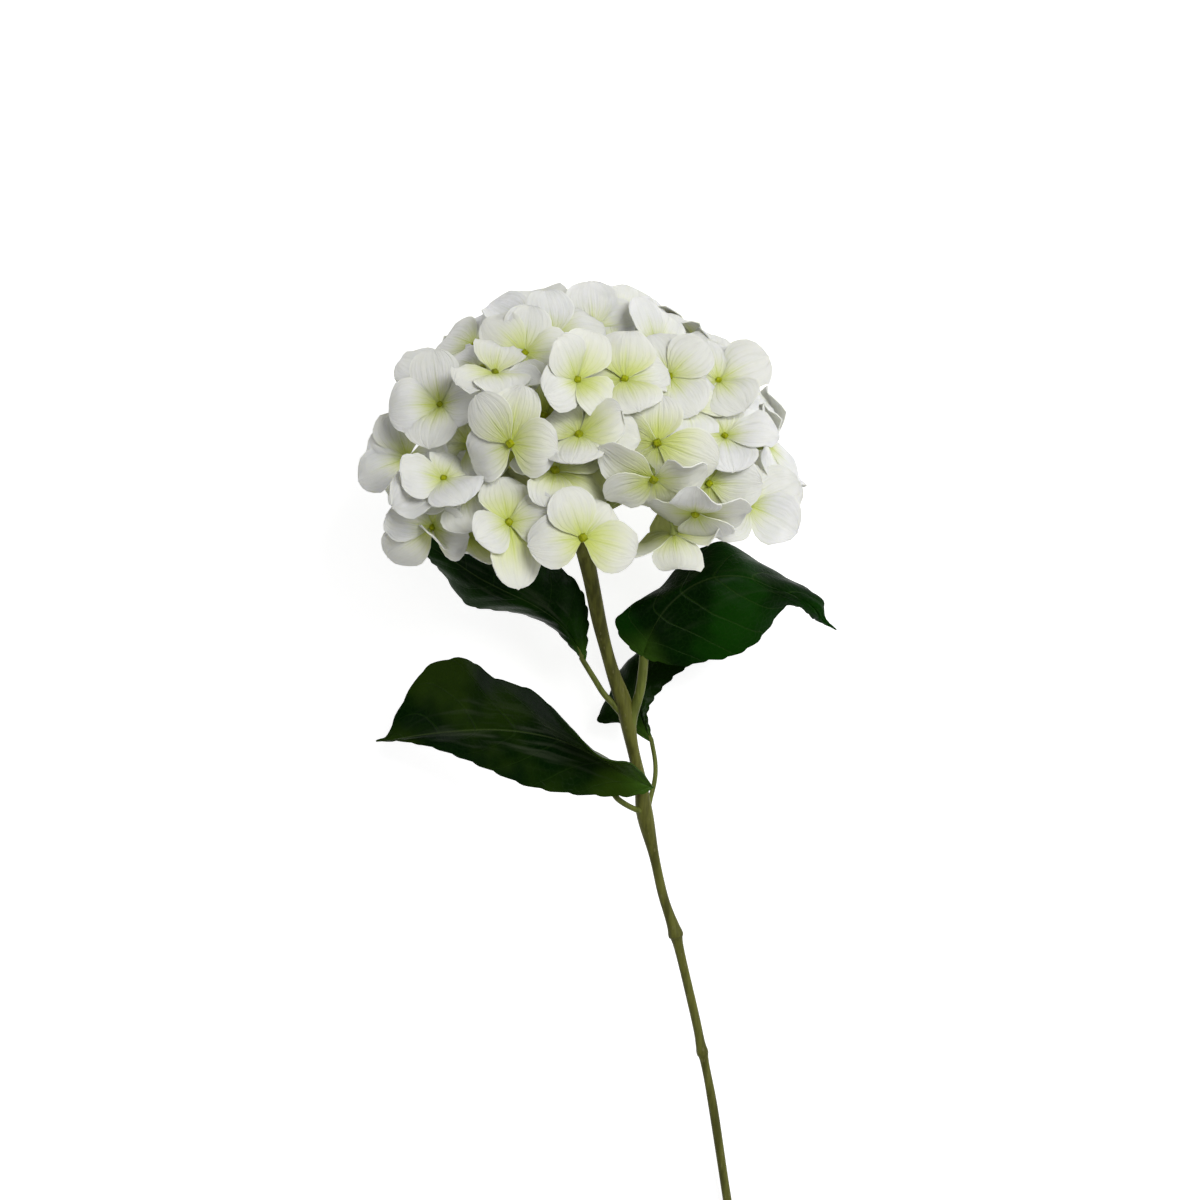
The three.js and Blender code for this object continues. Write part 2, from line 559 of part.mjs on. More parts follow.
// A leaf blade lofted over its three rails, with a toothed margin and a petiole under its base
function leafSolid({ base, tip, left, rib, right, petiole, petioleRadii }) {
  const rail = (middle) => new THREE.CatmullRomCurve3(
    [base, ...middle, tip].map((place) => point(...place)), false, 'catmullrom');
  const [leftRail, ribRail, rightRail] = [left, rib, right].map(rail);
  const rows = 2 * TEETH;
  const points = [point(...base)];
  const triangles = [];
  const columns = 5;
  for (let row = 1; row < rows; row += 1) {
    const along = row / rows;
    const middle = ribRail.getPoint(along);
    const margins = [leftRail.getPoint(along), rightRail.getPoint(along)];
    const across = margins[1].clone().sub(margins[0]);
    const normal = across.clone().cross(ribRail.getTangent(along)).normalize();
    const arch = BLADE_ARCH * Math.sin(Math.PI * along);
    const tooth = row % 2 ? TOOTH_DEPTH : 0;
    const [outerLeft, outerRight] = margins.map((margin) => {
      const outward = margin.clone().sub(middle);
      return margin.clone().add(outward.setLength(Math.min(tooth, 0.2 * outward.length())));
    });
    const halfway = (margin) => middle.clone().lerp(margin, 0.5).addScaledVector(normal, arch);
    points.push(outerLeft, halfway(margins[0]), middle, halfway(margins[1]), outerRight);
  }
  points.push(point(...tip));
  const at = (row, column) => 1 + (row - 1) * columns + column;
  for (let column = 0; column + 1 < columns; column += 1) {
    triangles.push([0, at(1, column + 1), at(1, column)]);
    triangles.push([points.length - 1, at(rows - 1, column), at(rows - 1, column + 1)]);
    for (let row = 1; row + 1 < rows; row += 1) {
      const [a, b] = [at(row, column), at(row, column + 1)];
      triangles.push([a, b, b + columns], [a, b + columns, a + columns]);
    }
  }
  const blade = sheetSolid(points, triangles, BLADE_THICKNESS);
  const stalk = rod(petiole.map((place) => point(...place)), petioleRadii, 6, 6);
  return blade.add(stalk);
}

function meshOf(name, solid, material) {
  const { vertProperties, triVerts } = solid.getMesh();
  const geometry = new THREE.BufferGeometry();
  geometry.setAttribute('position', new THREE.BufferAttribute(vertProperties, 3));
  geometry.setIndex(new THREE.BufferAttribute(triVerts, 1));
  geometry.computeVertexNormals();
  const mesh = new THREE.Mesh(geometry, material);
  mesh.name = name;
  return mesh;
}

const sepalWhite = new THREE.MeshStandardMaterial({ color: 0xe9ebe4, roughness: 0.75 });
const stemGreen = new THREE.MeshStandardMaterial({ color: 0x7d8046, roughness: 0.6 });
const leafGreen = new THREE.MeshStandardMaterial({ color: 0x163a12, roughness: 0.45 });

const shown = [...posedFlorets(), ...betweenFlorets(), ...placedFlorets()];
const florets = [...shown, ...spiralFlorets(shown)];
const rays = rayTips(florets);

const flower = new THREE.Group();
const stem = largestBody(wasm.Manifold.union([stemRod(0), ...corymb(rays, 0)]));
flower.add(meshOf('stem', stem, stemGreen));

const clearance = wasm.Manifold.union([stemRod(GAP), ...corymb(rays, GAP)]);
const sepals = wasm.Manifold.union(florets.map(floretSolid)).subtract(clearance);
flower.add(meshOf('florets', largestBody(sepals), sepalWhite));

for (const [name, leaf] of Object.entries(LEAVES)) {
  const blade = largestBody(leafSolid(leaf).subtract(stemRod(GAP)));
  flower.add(meshOf(name, blade, leafGreen));
}

export default flower;
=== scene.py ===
import math

import bmesh
import bpy
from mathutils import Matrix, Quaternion, Vector


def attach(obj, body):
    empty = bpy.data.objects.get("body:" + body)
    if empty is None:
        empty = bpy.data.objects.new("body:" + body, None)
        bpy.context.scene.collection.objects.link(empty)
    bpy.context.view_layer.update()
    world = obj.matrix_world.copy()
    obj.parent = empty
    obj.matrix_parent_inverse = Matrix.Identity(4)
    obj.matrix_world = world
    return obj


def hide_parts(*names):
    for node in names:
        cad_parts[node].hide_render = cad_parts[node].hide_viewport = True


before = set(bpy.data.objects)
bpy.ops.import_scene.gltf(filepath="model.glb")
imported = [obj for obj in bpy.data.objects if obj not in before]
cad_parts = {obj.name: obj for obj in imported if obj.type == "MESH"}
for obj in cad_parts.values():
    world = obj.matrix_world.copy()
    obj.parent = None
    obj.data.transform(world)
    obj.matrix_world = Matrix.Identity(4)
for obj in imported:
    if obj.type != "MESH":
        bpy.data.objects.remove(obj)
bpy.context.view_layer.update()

MM = 0.001
UP = Vector((0, 0, 1))

# Head: the eyes of the florets lie on a dome round a tilted axis
HEAD_CENTRE = Vector((0, 0, 60))
HEAD_AXIS = Vector((-0.12, 0.93, 0.35)).normalized()
HEAD_RADIUS = 78
HEAD_RISE = 66
HEAD_DROP = 45
PRESSED_EYE = 3.8

# Sepal: its length and width, how steeply it leaves the eye, how far its end curls back, and how
# much these differ from one sepal to the next
SEPAL_LENGTH = 22.5
LENGTH_SPREAD = 0.12
SEPAL_WIDTH = 21.5
WIDTH_SPREAD = 0.26
SEPAL_PITCH = 0.27
PITCH_SPREAD = 0.42
SEPAL_CURL = 5
TWIST_SPREAD = 0.5
ANGLE_SPREAD = 0.16
# The shortest that a posed sepal may be, a sepal's wall, and the lowest that its middle may lie
SHORTEST_SEPAL = 20
SEPAL_THICKNESS = 0.45
LOWEST_SHEET = 0.35
# How far a sepal's margins bend towards its back, how far it folds along the middle, how far the
# margins ripple, how far its tip and one of its margins roll up or down, and how deep the groove
# down its middle is
SEPAL_CUP = 2.3
SEPAL_FOLD = 6.5
SEPAL_RIPPLE = 2.6
TIP_ROLL = 5
SIDE_ROLL = 7
SEPAL_GROOVE = 0.3
# How far a sepal stands off the one it laps over, and the difference in height that decides it
PAIR_LIFT = 0.7
PAIR_DIFFERENCE = 0.8
# Sepals deep in the head are painted a dark olive shade: the levels of the dome, and the
# distances from its middle, between which the painted shade sets in
SHADE_LEVELS = (0.88, 0.6)
SHADE_REACH = (72, 50)
# The nearer a floret is to the middle of the head, the limer it is and the fuller its bud
LIME_REACH = (85, 20)
BUD_SIZES = (0.7, 1.05)
# Places along a sepal, from the claw to the tip, and the half width there
SEPAL_OUTLINE = [
    (0.03, 0.12), (0.12, 0.33), (0.24, 0.66), (0.38, 0.9), (0.52, 1), (0.66, 0.97),
    (0.79, 0.83), (0.89, 0.63), (0.955, 0.39), (0.98, 0.17),
]
SEPAL_COLUMNS = 4

# Corymb: the stem's top, its rays and the slender stalks of the florets. A stalk runs up towards
# its floret's back from a little way behind it, and ends just inside the receptacle
STEM_TOP = Vector((-0.8, -17, 60))
RAY_COUNT = 9
RAY_SPREAD = 1.25
RAY_REACH = 0.42
RAY_RADII = (1.9, 1.2)
STALK_RADII = (0.75, 0.6)
STALK_APPROACH = 9
STALK_INSET = 0.3
RECEPTACLE_DEPTH = 5
# The room that the solids leave between a stalk and its floret
GAP = 0.35

# Florets seen from the front: the x and y of the eye, how far it stands over the dome, and the
# tips of its four sepals, from the eye
POSED_FLORETS = [
    (-33.2, 40.8, 4, [(18, -4, 6), (3, 15, -4), (-15, -4, 3), (5, -8, 16)]),
    (-38.4, 43.2, -7, [(14, -9, 4), (6, 11, -4), (-15, 4, -4), (-9, -13, 4)]),
    (-1.2, 37.6, 5, [(15, -10, 3), (6, 20, -3), (-8, 16, 3), (-12, -6, 8)]),
    (17.6, 38, 1, [(17, 4, -2), (1, 19, -3), (-19, 1, -4), (6, -13, 4)]),
    (-26.8, 12.8, 4, [(18, -3, 7), (5, 23, -1), (-14, 19, -2), (-16, -7, -8)]),
    (0, 16, -2, [(24, -2, -2), (17, 9, 3), (-12, 8, -8), (-3, -12, 10)]),
    (30.4, 13.2, 1, [(24, -8, -3), (1, 19, -5), (-18, 3, -3), (0, -17, -2)]),
    (28.8, -0.8, 5, [(21, 3, 5), (-21, 10, 6), (-19, -8, -4), (2, -11, -14)]),
    (45.2, -14, 6, [(22, 1, 0), (0, 9, 17), (-18, 2, -3), (8, -10, -12)]),
    (1.2, -24, 5, [(21, -6, -2), (10, 13, -6), (-7, 20, 2), (-21, -3, 2)]),
    (-27.6, -18, 2, [(19, 3, 1), (-4, 18, -6), (-12, -6, 10), (4, -26, 2)]),
    (-9.6, 2, -8, [(21, -9, -3), (13, 10, -8), (-14, 7, -6), (-3, -15, 10)]),
    (-53.2, -0.8, 3, [(9, -8, 10), (6, 12, -8), (-17, 4, 4), (-20, -12, 3)]),
    (-45.6, -5.6, -8, [(21, 4, 3), (-4, 16, -10), (-19, -3, -4), (5, -16, 8)]),
    (-57.6, -19.2, -1, [(14, -5, 3), (5, 15, 2), (-18, 5, 3), (-19, -13, -5)]),
    (-68, 8, -1, [(16, -4, 4), (-5, 21, -5), (-14, 11, -8), (-20, -9, -2)]),
    (-54.8, 28.8, 2, [(16, 3, 5), (-3, 22, -5), (-21, -2, -2), (-5, -17, 10)]),
    (-21.6, 49.2, -2, [(20, 0, 2), (2, 20, -6), (-16, 14, -4), (-4, -18, 6)]),
    (-9.6, 56, -1, [(20, 3, -2), (-4, 18, -7), (-20, 2, -4), (2, -18, 10)]),
    (-20.4, 62.5, 4, [(17, 10, 2), (0, 15, -10), (-16, 9, -4), (-4, -14, 12)]),
    (5.6, 59.2, -2, [(20, 2, -2), (-2, 20, -4), (-20, 0, -3), (4, -18, 6)]),
    (19.2, 63.2, -4, [(17, 0, -8), (2, 14, -10), (-18, 7, 4), (0, -17, 10)]),
    (30, 52.8, 1, [(17, -11, -2), (5, 12, -12), (-8, 19, -3), (-11, -14, 8)]),
    (13.2, 52, -7, [(15, 8, -4), (0, 14, -12), (-14, 8, -2), (0, -17, 10)]),
    (35.2, 39.6, -1, [(15, 13, -4), (-8, 16, -6), (-16, -8, 5), (11, -15, 6)]),
    (54.8, 38.4, 4, [(20, 10, -2), (-4, 18, -8), (-18, -5, 5), (10, -12, 10)]),
    (40.8, 28.8, -6.7, [(15, 5, -8), (3, 14, -14), (-18, -2, 3), (4, -18, 8)]),
    (56.8, 16, 1, [(22, 2, -2), (-6, 13, -14), (-19, -2, 4), (3, -15, 10)]),
    (50.8, -2.4, -4, [(21, 0, 2), (12, 18, -5), (-18, 7, -2), (-2, -17, -3)]),
    (66, -10.8, -1, [(20, -10, 3), (21, 9, -5), (-8, 17, -3), (-13, -13, 8)]),
    (-56.8, 41.6, -4.5, [(16, 9, 6), (-4, 10, -14), (-15, 6, -4), (-6, -10, 12)]),
    (-41.6, 53.6, -3, [(14, 10, 6), (-2, 12, -14), (-14, 4, -6), (-6, -11, 12)]),
    (48.8, 45.6, -5, [(16, 1, -5), (4, 14, -12), (-13, 7, -10), (-8, -12, 10)]),
]
# Florets deeper between those: x, y, how far the eye stands over the dome and the spin in degrees
BETWEEN_FLORETS = [
    (-14, 24, -17, 20), (14, 26, -13.5, 65), (-43, 13, -15, 40), (-12, -10, -16, 70),
]
# Florets that hang under the edge of the dome, then the one pressed flat over the origin: where
# the eye would be, the facing and the spin
PLACED_FLORETS = [
    ((37, -22, 113), (0.2, -0.8, -0.45), 20),
    ((-45, -22, 100), (-0.3, -0.8, -0.45), 30),
    ((-2, 16, -8), (0, 0.2, -1), 60),
]
SPIRAL_STEPS = 240
SPIRAL_LOWEST = -20
SPIRAL_SPACING = 24.6
OPEN_BELOW_Y = 9
SPIRAL_TOP = 22
GOLDEN_ANGLE = math.pi * (3 - math.sqrt(5))
# Where the front of the head is parted into three pieces
LEFT_ENDS_AT_X = -15
RIGHT_STARTS_AT_X = 32

# Stem: how uneven its thickness is, and x, y, z and radius down its length, with swollen nodes
STEM_UNEVEN = 0.025
STEM = [
    (-0.8, -17, 60, 3.6), (4, -38, 53, 3.2), (8, -58, 46.5, 2.9), (12.8, -76, 41.5, 2.6),
    (18, -91, 38, 3.4), (20.8, -106, 35, 2.6), (24.4, -122, 31.5, 2.6), (26, -134, 29, 3.3),
    (30, -152, 25.6, 2.1), (33.6, -168, 22.8, 2), (37.6, -180, 20.7, 2.4),
    (38.8, -184, 20, 3.1), (40, -189, 19.2, 2.1), (46.8, -218, 15, 1.8),
    (49, -229, 13.5, 2), (49.8, -232.5, 13, 2.5), (50.6, -236, 12.5, 1.8),
    (54, -254, 10.3, 1.8), (59.2, -288, 6.6, 1.8), (64.8, -324, 3.6, 1.8),
    (69.6, -356, 1.84, 1.8),
]

# Leaves: three rails from base to tip, the left margin, the midrib and the right margin, which
# share their first and last points, the petiole with its radii at the blade and at the stem, and
# the share of the blade by which the midrib has sunk under it. Then the finish: the green, how
# strongly the pale midrib with its painted highlight, the side veins and the streaks of painted
# sheen show, and where the painted sheen's streaks start
LEAVES = {
    "leaf_lower_left": {
        "base": (29.6, -123.6, 41),
        "tip": (-82.8, -105.2, 25),
        "left": [
            (20.8, -114, 50), (7.2, -110, 61), (-6, -97.2, 66), (-19.2, -84.8, 64),
            (-34, -79.2, 58), (-46.4, -72, 49), (-62, -75.6, 41), (-72.6, -91.2, 34),
            (-77.6, -102.4, 29),
        ],
        "rib": [
            (19.2, -119.2, 44), (7.2, -111.6, 47), (-7.2, -104.8, 49), (-20.8, -101.6, 49),
            (-34, -100.4, 47), (-46.4, -100.8, 43), (-58.8, -102, 37), (-70.4, -103.6, 31),
            (-78, -104.8, 27.5),
        ],
        "right": [
            (20.8, -126.8, 42), (8, -126.8, 43), (-6.8, -124.8, 44), (-22, -122, 43),
            (-35.2, -117.2, 40), (-46.8, -112, 36), (-58, -107.6, 32), (-69.6, -105.4, 28.5),
            (-77.6, -105.4, 26.5),
        ],
        "petiole": [
            (18, -118.6, 42.8), (13, -122.5, 40), (14.5, -127.5, 38), (20, -131.5, 34),
            (26, -134, 30),
        ],
        "radii": (1.3, 1.1),
        "rib_sunk_by": 0.03,
        "green": (0.019, 0.042, 0.0022),
        "rib_highlight_strength": 0.45,
        "vein_strength": 0.2,
        "sheen_strength": 0.75,
        "sheen_start": 19,
    },
    "leaf_upper_left": {
        "base": (2, -73.2, 40),
        "tip": (-68.8, -20.8, 36),
        "left": [
            (-4, -66, 39.5), (-11.2, -58.8, 37), (-24, -53.6, 33), (-36, -51.2, 32),
            (-46.4, -48.8, 32), (-56, -36.4, 34), (-61.2, -30.4, 35.5),
        ],
        "rib": [
            (-2.8, -64, 42), (-9.6, -56.4, 44), (-19.2, -50, 45), (-30, -44.8, 45),
            (-40.8, -39.2, 44), (-51.2, -32.4, 42), (-60, -26.8, 39),
        ],
        "right": [
            (2.4, -64, 40.5), (2.6, -52.8, 42), (-0.8, -42, 43.5), (-12, -32.8, 45),
            (-26, -26, 45), (-40, -22, 44), (-52.8, -20, 41),
        ],
        "petiole": [(0.6, -71.5, 40), (5.6, -79.6, 39.5), (10, -86.4, 38.8), (16.5, -93, 38)],
        "radii": (1.1, 1.3),
        "rib_sunk_by": 0.16,
        "green": (0.007, 0.032, 0.0012),
        "rib_highlight_strength": 0.3,
        "vein_strength": 0.15,
        "sheen_strength": 0.45,
        "sheen_start": 7,
    },
    "leaf_upper_right": {
        "base": (25.2, -70.8, 43),
        "tip": (103.6, -60, 30),
        "left": [
            (18.4, -64.8, 46), (14.8, -56, 49), (23.2, -48.8, 50), (32.8, -42.8, 47),
            (44, -30.8, 42), (56.8, -25.2, 40), (70.8, -32, 40), (85.2, -40, 38),
            (96.8, -47.6, 35), (98.4, -54.6, 33),
        ],
        "rib": [
            (28, -62.4, 48), (32, -54.8, 52), (37.6, -48, 55), (46, -41.6, 57), (56, -38.4, 57),
            (67.2, -38.8, 54), (78, -43.2, 49), (88, -47, 43), (94.4, -51.6, 38),
            (97.6, -55.8, 33.5),
        ],
        "right": [
            (32.8, -72.8, 45), (41.6, -74.4, 46), (50.4, -72, 46), (60, -70.4, 46),
            (69.6, -65.6, 45), (76.4, -58, 43), (82.4, -50.4, 42), (88.8, -51.2, 39),
            (93.6, -54.6, 35.5), (96.8, -56.6, 33),
        ],
        "petiole": [
            (26, -66, 41.5), (25.4, -75, 41.8), (24.2, -84, 40.5), (22, -92, 38.5),
            (19.6, -100, 36),
        ],
        "radii": (1.9, 2.1),
        "rib_sunk_by": 0.03,
        "green": (0.004, 0.034, 0.0008),
        "rib_highlight_strength": 0.2,
        "vein_strength": 0.3,
        "sheen_strength": 0.2,
        "sheen_start": 4,
    },
    "leaf_back": {
        "base": (29.2, -106, 25),
        "tip": (46.8, -42, 5),
        "left": [
            (16.8, -98, 17), (7.6, -97.2, 13), (12.8, -86, 11), (16.8, -75.6, 9),
            (23.2, -70, 8), (30, -60.8, 7), (37.6, -51.2, 6),
        ],
        "rib": [
            (26, -97.6, 22), (24, -88.8, 19), (24, -80, 17), (27.2, -70.8, 15), (32, -62, 13),
            (37.6, -54, 11), (42.4, -48, 8.5),
        ],
        "right": [
            (28, -99.2, 23), (27.2, -92.8, 21), (30.4, -86, 20), (38, -79.2, 19),
            (46, -72.8, 17), (49.6, -63.2, 13), (48.8, -54, 8.5),
        ],
        "petiole": [
            (28.8, -104.5, 24.6), (30.4, -114, 25.5), (30, -122, 26.5), (27, -133, 28.5),
        ],
        "radii": (0.9, 1),
        "rib_sunk_by": 0.16,
        "green": (0.006, 0.021, 0.001),
        "rib_highlight_strength": 0.3,
        "vein_strength": 0.1,
        "sheen_strength": 0.2,
        "sheen_start": 6,
    },
}
BLADE_THICKNESS = 0.6
BLADE_ARCH = 1.6
# Teeth along a margin, their depth in the solids, how much fuller they are here, and the share
# of a tooth after which it narrows again
TEETH = 14
TOOTH_DEPTH = 0.9
TOOTH_FULLNESS = 1.3
TOOTH_PEAK = 0.75
# Rows to a tooth and columns to half a blade
TOOTH_ROWS = 6
HALF_COLUMNS = 7
# How deep the groove over the midrib is, how deep the midrib lies under the blade where it has
# sunk, and how far the margins wave
RIB_GROOVE = 0.7
RIB_COVER = 0.7
MARGIN_WAVE = 0.9
# Side veins: how many pairs, how far they sweep towards the tip, and how high the blade puffs
# up between them
VEIN_PAIRS = 8
VEIN_SWEEP = 0.2
BLADE_PUFF = 0.85


# Placing, as in the solids

def noise(index, channel):
    """A repeatable draw between 0 and 1."""
    wave = math.sin(index * 12.9898 + channel * 78.233) * 43758.5453
    return wave - math.floor(wave)


def mix(start, end, share):
    return start + (end - start) * share


def ease(low, high, value):
    """0 below low, 1 above high and smooth between."""
    share = min(max((value - low) / (high - low), 0), 1)
    return share * share * (3 - 2 * share)


def dome_parts(place):
    offset = place - HEAD_CENTRE
    height = offset.dot(HEAD_AXIS)
    reach = HEAD_RISE if height > 0 else HEAD_DROP
    return offset, height, reach


def dome_level(place):
    """Level of a point in the dome: 1 on the surface that holds the eyes, less inside it."""
    offset, height, reach = dome_parts(place)
    across = offset.length_squared - height * height
    return across / HEAD_RADIUS ** 2 + (height / reach) ** 2


def dome_normal(place):
    offset, height, reach = dome_parts(place)
    return ((offset - HEAD_AXIS * height) / HEAD_RADIUS ** 2
            + HEAD_AXIS * (height / reach ** 2)).normalized()


def dome_front(x, y):
    """The place on the front of the dome over x and y, or beside it where it comes nearest."""
    top = 150
    step = 0.5
    steps = 210
    nearest = Vector((x, y, top))
    for count in range(steps):
        place = Vector((x, y, top - count * step))
        if dome_level(place) < dome_level(nearest):
            nearest = place
        if dome_level(nearest) <= 1:
            break
    return nearest


def make_floret(place, heading, spin, seed):
    """One floret. What would sink into the floor is pressed onto it and faces it."""
    pressed = max(PRESSED_EYE - place.z, 0)
    eye = place + UP * pressed
    facing = (heading.normalized() - UP * (pressed / PRESSED_EYE)).normalized()
    cross = UP.cross(facing)
    turn = Quaternion((1 + facing.z, cross.x, cross.y, cross.z)).normalized()
    return {"eye": eye, "facing": facing, "turn": turn, "spin": spin, "seed": seed}


def facing_of(place, lean):
    outward = (place - STEM_TOP).normalized()
    return (outward + dome_normal(place) + UP * lean).normalized()


def full_tip(tip):
    """A tip at least the shortest sepal's length from the eye, towards or from the viewer."""
    depth = math.sqrt(max(SHORTEST_SEPAL ** 2 - tip.xy.length_squared, tip.z ** 2))
    return Vector((tip.x, tip.y, math.copysign(depth, tip.z)))


def front_florets():
    """The posed florets and those between them."""
    florets = []
    for x, y, stand, tips in POSED_FLORETS:
        tips = [full_tip(Vector(tip)) for tip in tips]
        # It faces square to the lines between opposite tips
        heading = (tips[0] - tips[2]).cross(tips[1] - tips[3])
        floret = make_floret(dome_front(x, y) + UP * stand, heading, 0, len(florets))
        to_plane = floret["turn"].inverted()
        floret["tips"] = [to_plane @ tip for tip in tips]
        floret["spin"] = math.degrees(math.atan2(floret["tips"][0].y, floret["tips"][0].x))
        florets.append(floret)
    lean = 0.6
    for x, y, stand, spin in BETWEEN_FLORETS:
        place = dome_front(x, y)
        florets.append(make_floret(
            place + UP * stand, facing_of(place, lean), spin, len(florets)))
    return florets


def placed_florets():
    first_seed = 50
    return [make_floret(Vector(place), Vector(facing), spin, first_seed + index)
            for index, (place, facing, spin) in enumerate(PLACED_FLORETS)]


def head_sides():
    side = HEAD_AXIS.cross(UP).normalized()
    return side, HEAD_AXIS.cross(side)


def spiral_florets(others):
    """The florets that the front ones leave room for, on a spiral down the dome."""
    first_seed = 60
    side, back = head_sides()
    florets = []
    for step in range(SPIRAL_STEPS):
        height = HEAD_RISE + (SPIRAL_LOWEST - HEAD_RISE) * (step + 0.5) / SPIRAL_STEPS
        reach = HEAD_RISE if height > 0 else HEAD_DROP
        radius = HEAD_RADIUS * math.sqrt(1 - (height / reach) ** 2)
        angle = step * GOLDEN_ANGLE
        place = (HEAD_CENTRE + HEAD_AXIS * height + side * (radius * math.cos(angle))
                 + back * (radius * math.sin(angle)))
        if place.z > HEAD_CENTRE.z + SPIRAL_TOP or place.y < OPEN_BELOW_Y:
            continue
        floret = make_floret(place, facing_of(place, 0), 90 * noise(step, 9), first_seed + step)
        if all((other["eye"] - floret["eye"]).length >= SPIRAL_SPACING
               for other in others + florets):
            florets.append(floret)
    return florets


def ray_tips(florets):
    """The rays from the top of the stem, each with the florets that it serves."""
    side, back = head_sides()
    headings = []
    for ray in range(RAY_COUNT):
        cosine = 1 - RAY_SPREAD * ray / RAY_COUNT
        sine = math.sqrt(1 - cosine * cosine)
        angle = ray * GOLDEN_ANGLE
        headings.append(HEAD_AXIS * cosine + side * (sine * math.cos(angle))
                        + back * (sine * math.sin(angle)))
    served = [[] for _ in headings]
    for floret in florets:
        outward = (floret["eye"] - STEM_TOP).normalized()
        fits = [heading.dot(outward) for heading in headings]
        served[fits.index(max(fits))].append(floret)
    rays = []
    for group in served:
        if group:
            middle = sum((floret["eye"] for floret in group), Vector()) / len(group)
            rays.append((STEM_TOP.lerp(middle, RAY_REACH), group))
    return rays


def smooth_path(places, share):
    """A place on the smooth curve through the given places, at a share of its spans."""
    spans = len(places) - 1
    first = min(int(share * spans), spans - 1)
    t = share * spans - first
    p1, p2 = places[first], places[first + 1]
    p0 = places[first - 1] if first else p1 * 2 - p2
    p3 = places[first + 2] if first + 2 <= spans else p2 * 2 - p1
    lead, trail = (p2 - p0) * 0.5, (p3 - p1) * 0.5
    return (p1 + lead * t + (p1 * -3 + p2 * 3 - lead * 2 - trail) * t ** 2
            + (p1 * 2 - p2 * 2 + lead + trail) * t ** 3)


# Modelling

def activate(*pieces):
    bpy.ops.object.select_all(action="DESELECT")
    for piece in pieces:
        piece.select_set(True)
    bpy.context.view_layer.objects.active = pieces[0]


def pick(test):
    """In edit mode, selects the vertices whose place passes the test."""
    shape = bpy.context.object.data
    cage = bmesh.from_edit_mesh(shape)
    for vertex in cage.verts:
        vertex.select = test(vertex.co)
    cage.select_flush_mode()
    bmesh.update_edit_mesh(shape)


def start_editing(name):
    piece = bpy.context.object
    piece.name = name
    activate(piece)
    bpy.ops.object.mode_set(mode="EDIT")
    bpy.ops.mesh.select_mode(type="VERT")
    return piece


def stop_editing():
    bpy.ops.object.mode_set(mode="OBJECT")


def merge_and_face_out():
    bpy.ops.object.mode_set(mode="EDIT")
    bpy.ops.mesh.select_all(action="SELECT")
    bpy.ops.mesh.remove_doubles(threshold=0.01 * MM)
    bpy.ops.mesh.normals_make_consistent(inside=False)
    bpy.ops.object.mode_set(mode="OBJECT")


def thicken(piece, thickness):
    """Gives a sheet its wall, half of it to each side."""
    wall = piece.modifiers.new("wall", "SOLIDIFY")
    wall.thickness = thickness * MM
    wall.offset = 0
    activate(piece)
    bpy.ops.object.modifier_apply(modifier=wall.name)


def join(name, parts):
    activate(*parts)
    bpy.ops.object.join()
    piece = bpy.context.object
    piece.name = name
    piece.data.name = name
    return piece


def finish_piece(piece, finish, nodes, crease=40):
    """Shades a piece, gives it its finish, and ties it to the solids that it stands for."""
    activate(piece)
    bpy.ops.object.transform_apply(location=True, rotation=True, scale=True)
    bpy.ops.object.shade_smooth_by_angle(angle=math.radians(crease))
    if finish:
        piece.data.materials.clear()
        piece.data.materials.append(finish)
    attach(piece, "root")
    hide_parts(*nodes)


def copy_of(master):
    twin = master.copy()
    twin.data = master.data.copy()
    bpy.context.collection.objects.link(twin)
    return twin


def rods(name, runs, sides):
    """Round rods along runs of (place, radius), as one mesh with closed ends."""
    bpy.ops.curve.primitive_nurbs_path_add()
    path = bpy.context.object
    curve = path.data
    curve.splines.clear()
    curve.dimensions = "3D"
    curve.bevel_depth = MM
    curve.bevel_resolution = sides // 2 - 2
    curve.use_fill_caps = True
    for run in runs:
        spline = curve.splines.new("POLY")
        spline.points.add(len(run) - 1)
        for knot, (place, radius) in zip(spline.points, run):
            knot.co = (*(place * MM), 1)
            knot.radius = radius
    activate(path)
    bpy.ops.object.convert(target="MESH")
    piece = bpy.context.object
    piece.name = name
    merge_and_face_out()
    return piece


# Florets

def model_sepal():
    """A flat sepal, 1 long from its claw along +Y and 1 to either side, rounded row by row."""
    rows = len(SEPAL_OUTLINE) - 1
    bpy.ops.mesh.primitive_grid_add(
        x_subdivisions=SEPAL_COLUMNS, y_subdivisions=rows, size=2, location=(0, 1, 0),
        calc_uvs=True)
    bpy.ops.object.transform_apply(location=True, rotation=True, scale=True)
    sepal = start_editing("sepal")
    bpy.ops.mesh.select_all(action="SELECT")
    bpy.ops.transform.resize(value=(1, 0.5, 1), center_override=(0, 0, 0))
    # A finished row waits further out, where no later pick reaches it
    aside = 10
    for row in range(rows, -1, -1):
        along, half_width = SEPAL_OUTLINE[row]
        height = row / rows
        pick(lambda place: abs(place.y - height) < 0.2 / rows)
        bpy.ops.transform.resize(value=(half_width, 1, 1), center_override=(0, height, 0))
        bpy.ops.transform.translate(value=(0, aside + along - height, 0))
    bpy.ops.mesh.select_all(action="SELECT")
    bpy.ops.transform.translate(value=(0, -aside, 0))
    # The middle of the last rows stands out to round the tip
    tip = SEPAL_OUTLINE[-1][0]
    pick(lambda place: place.y > tip - 0.01 and abs(place.x) < 0.05)
    bpy.ops.transform.translate(value=(0, 0.02, 0))
    stop_editing()
    return sepal


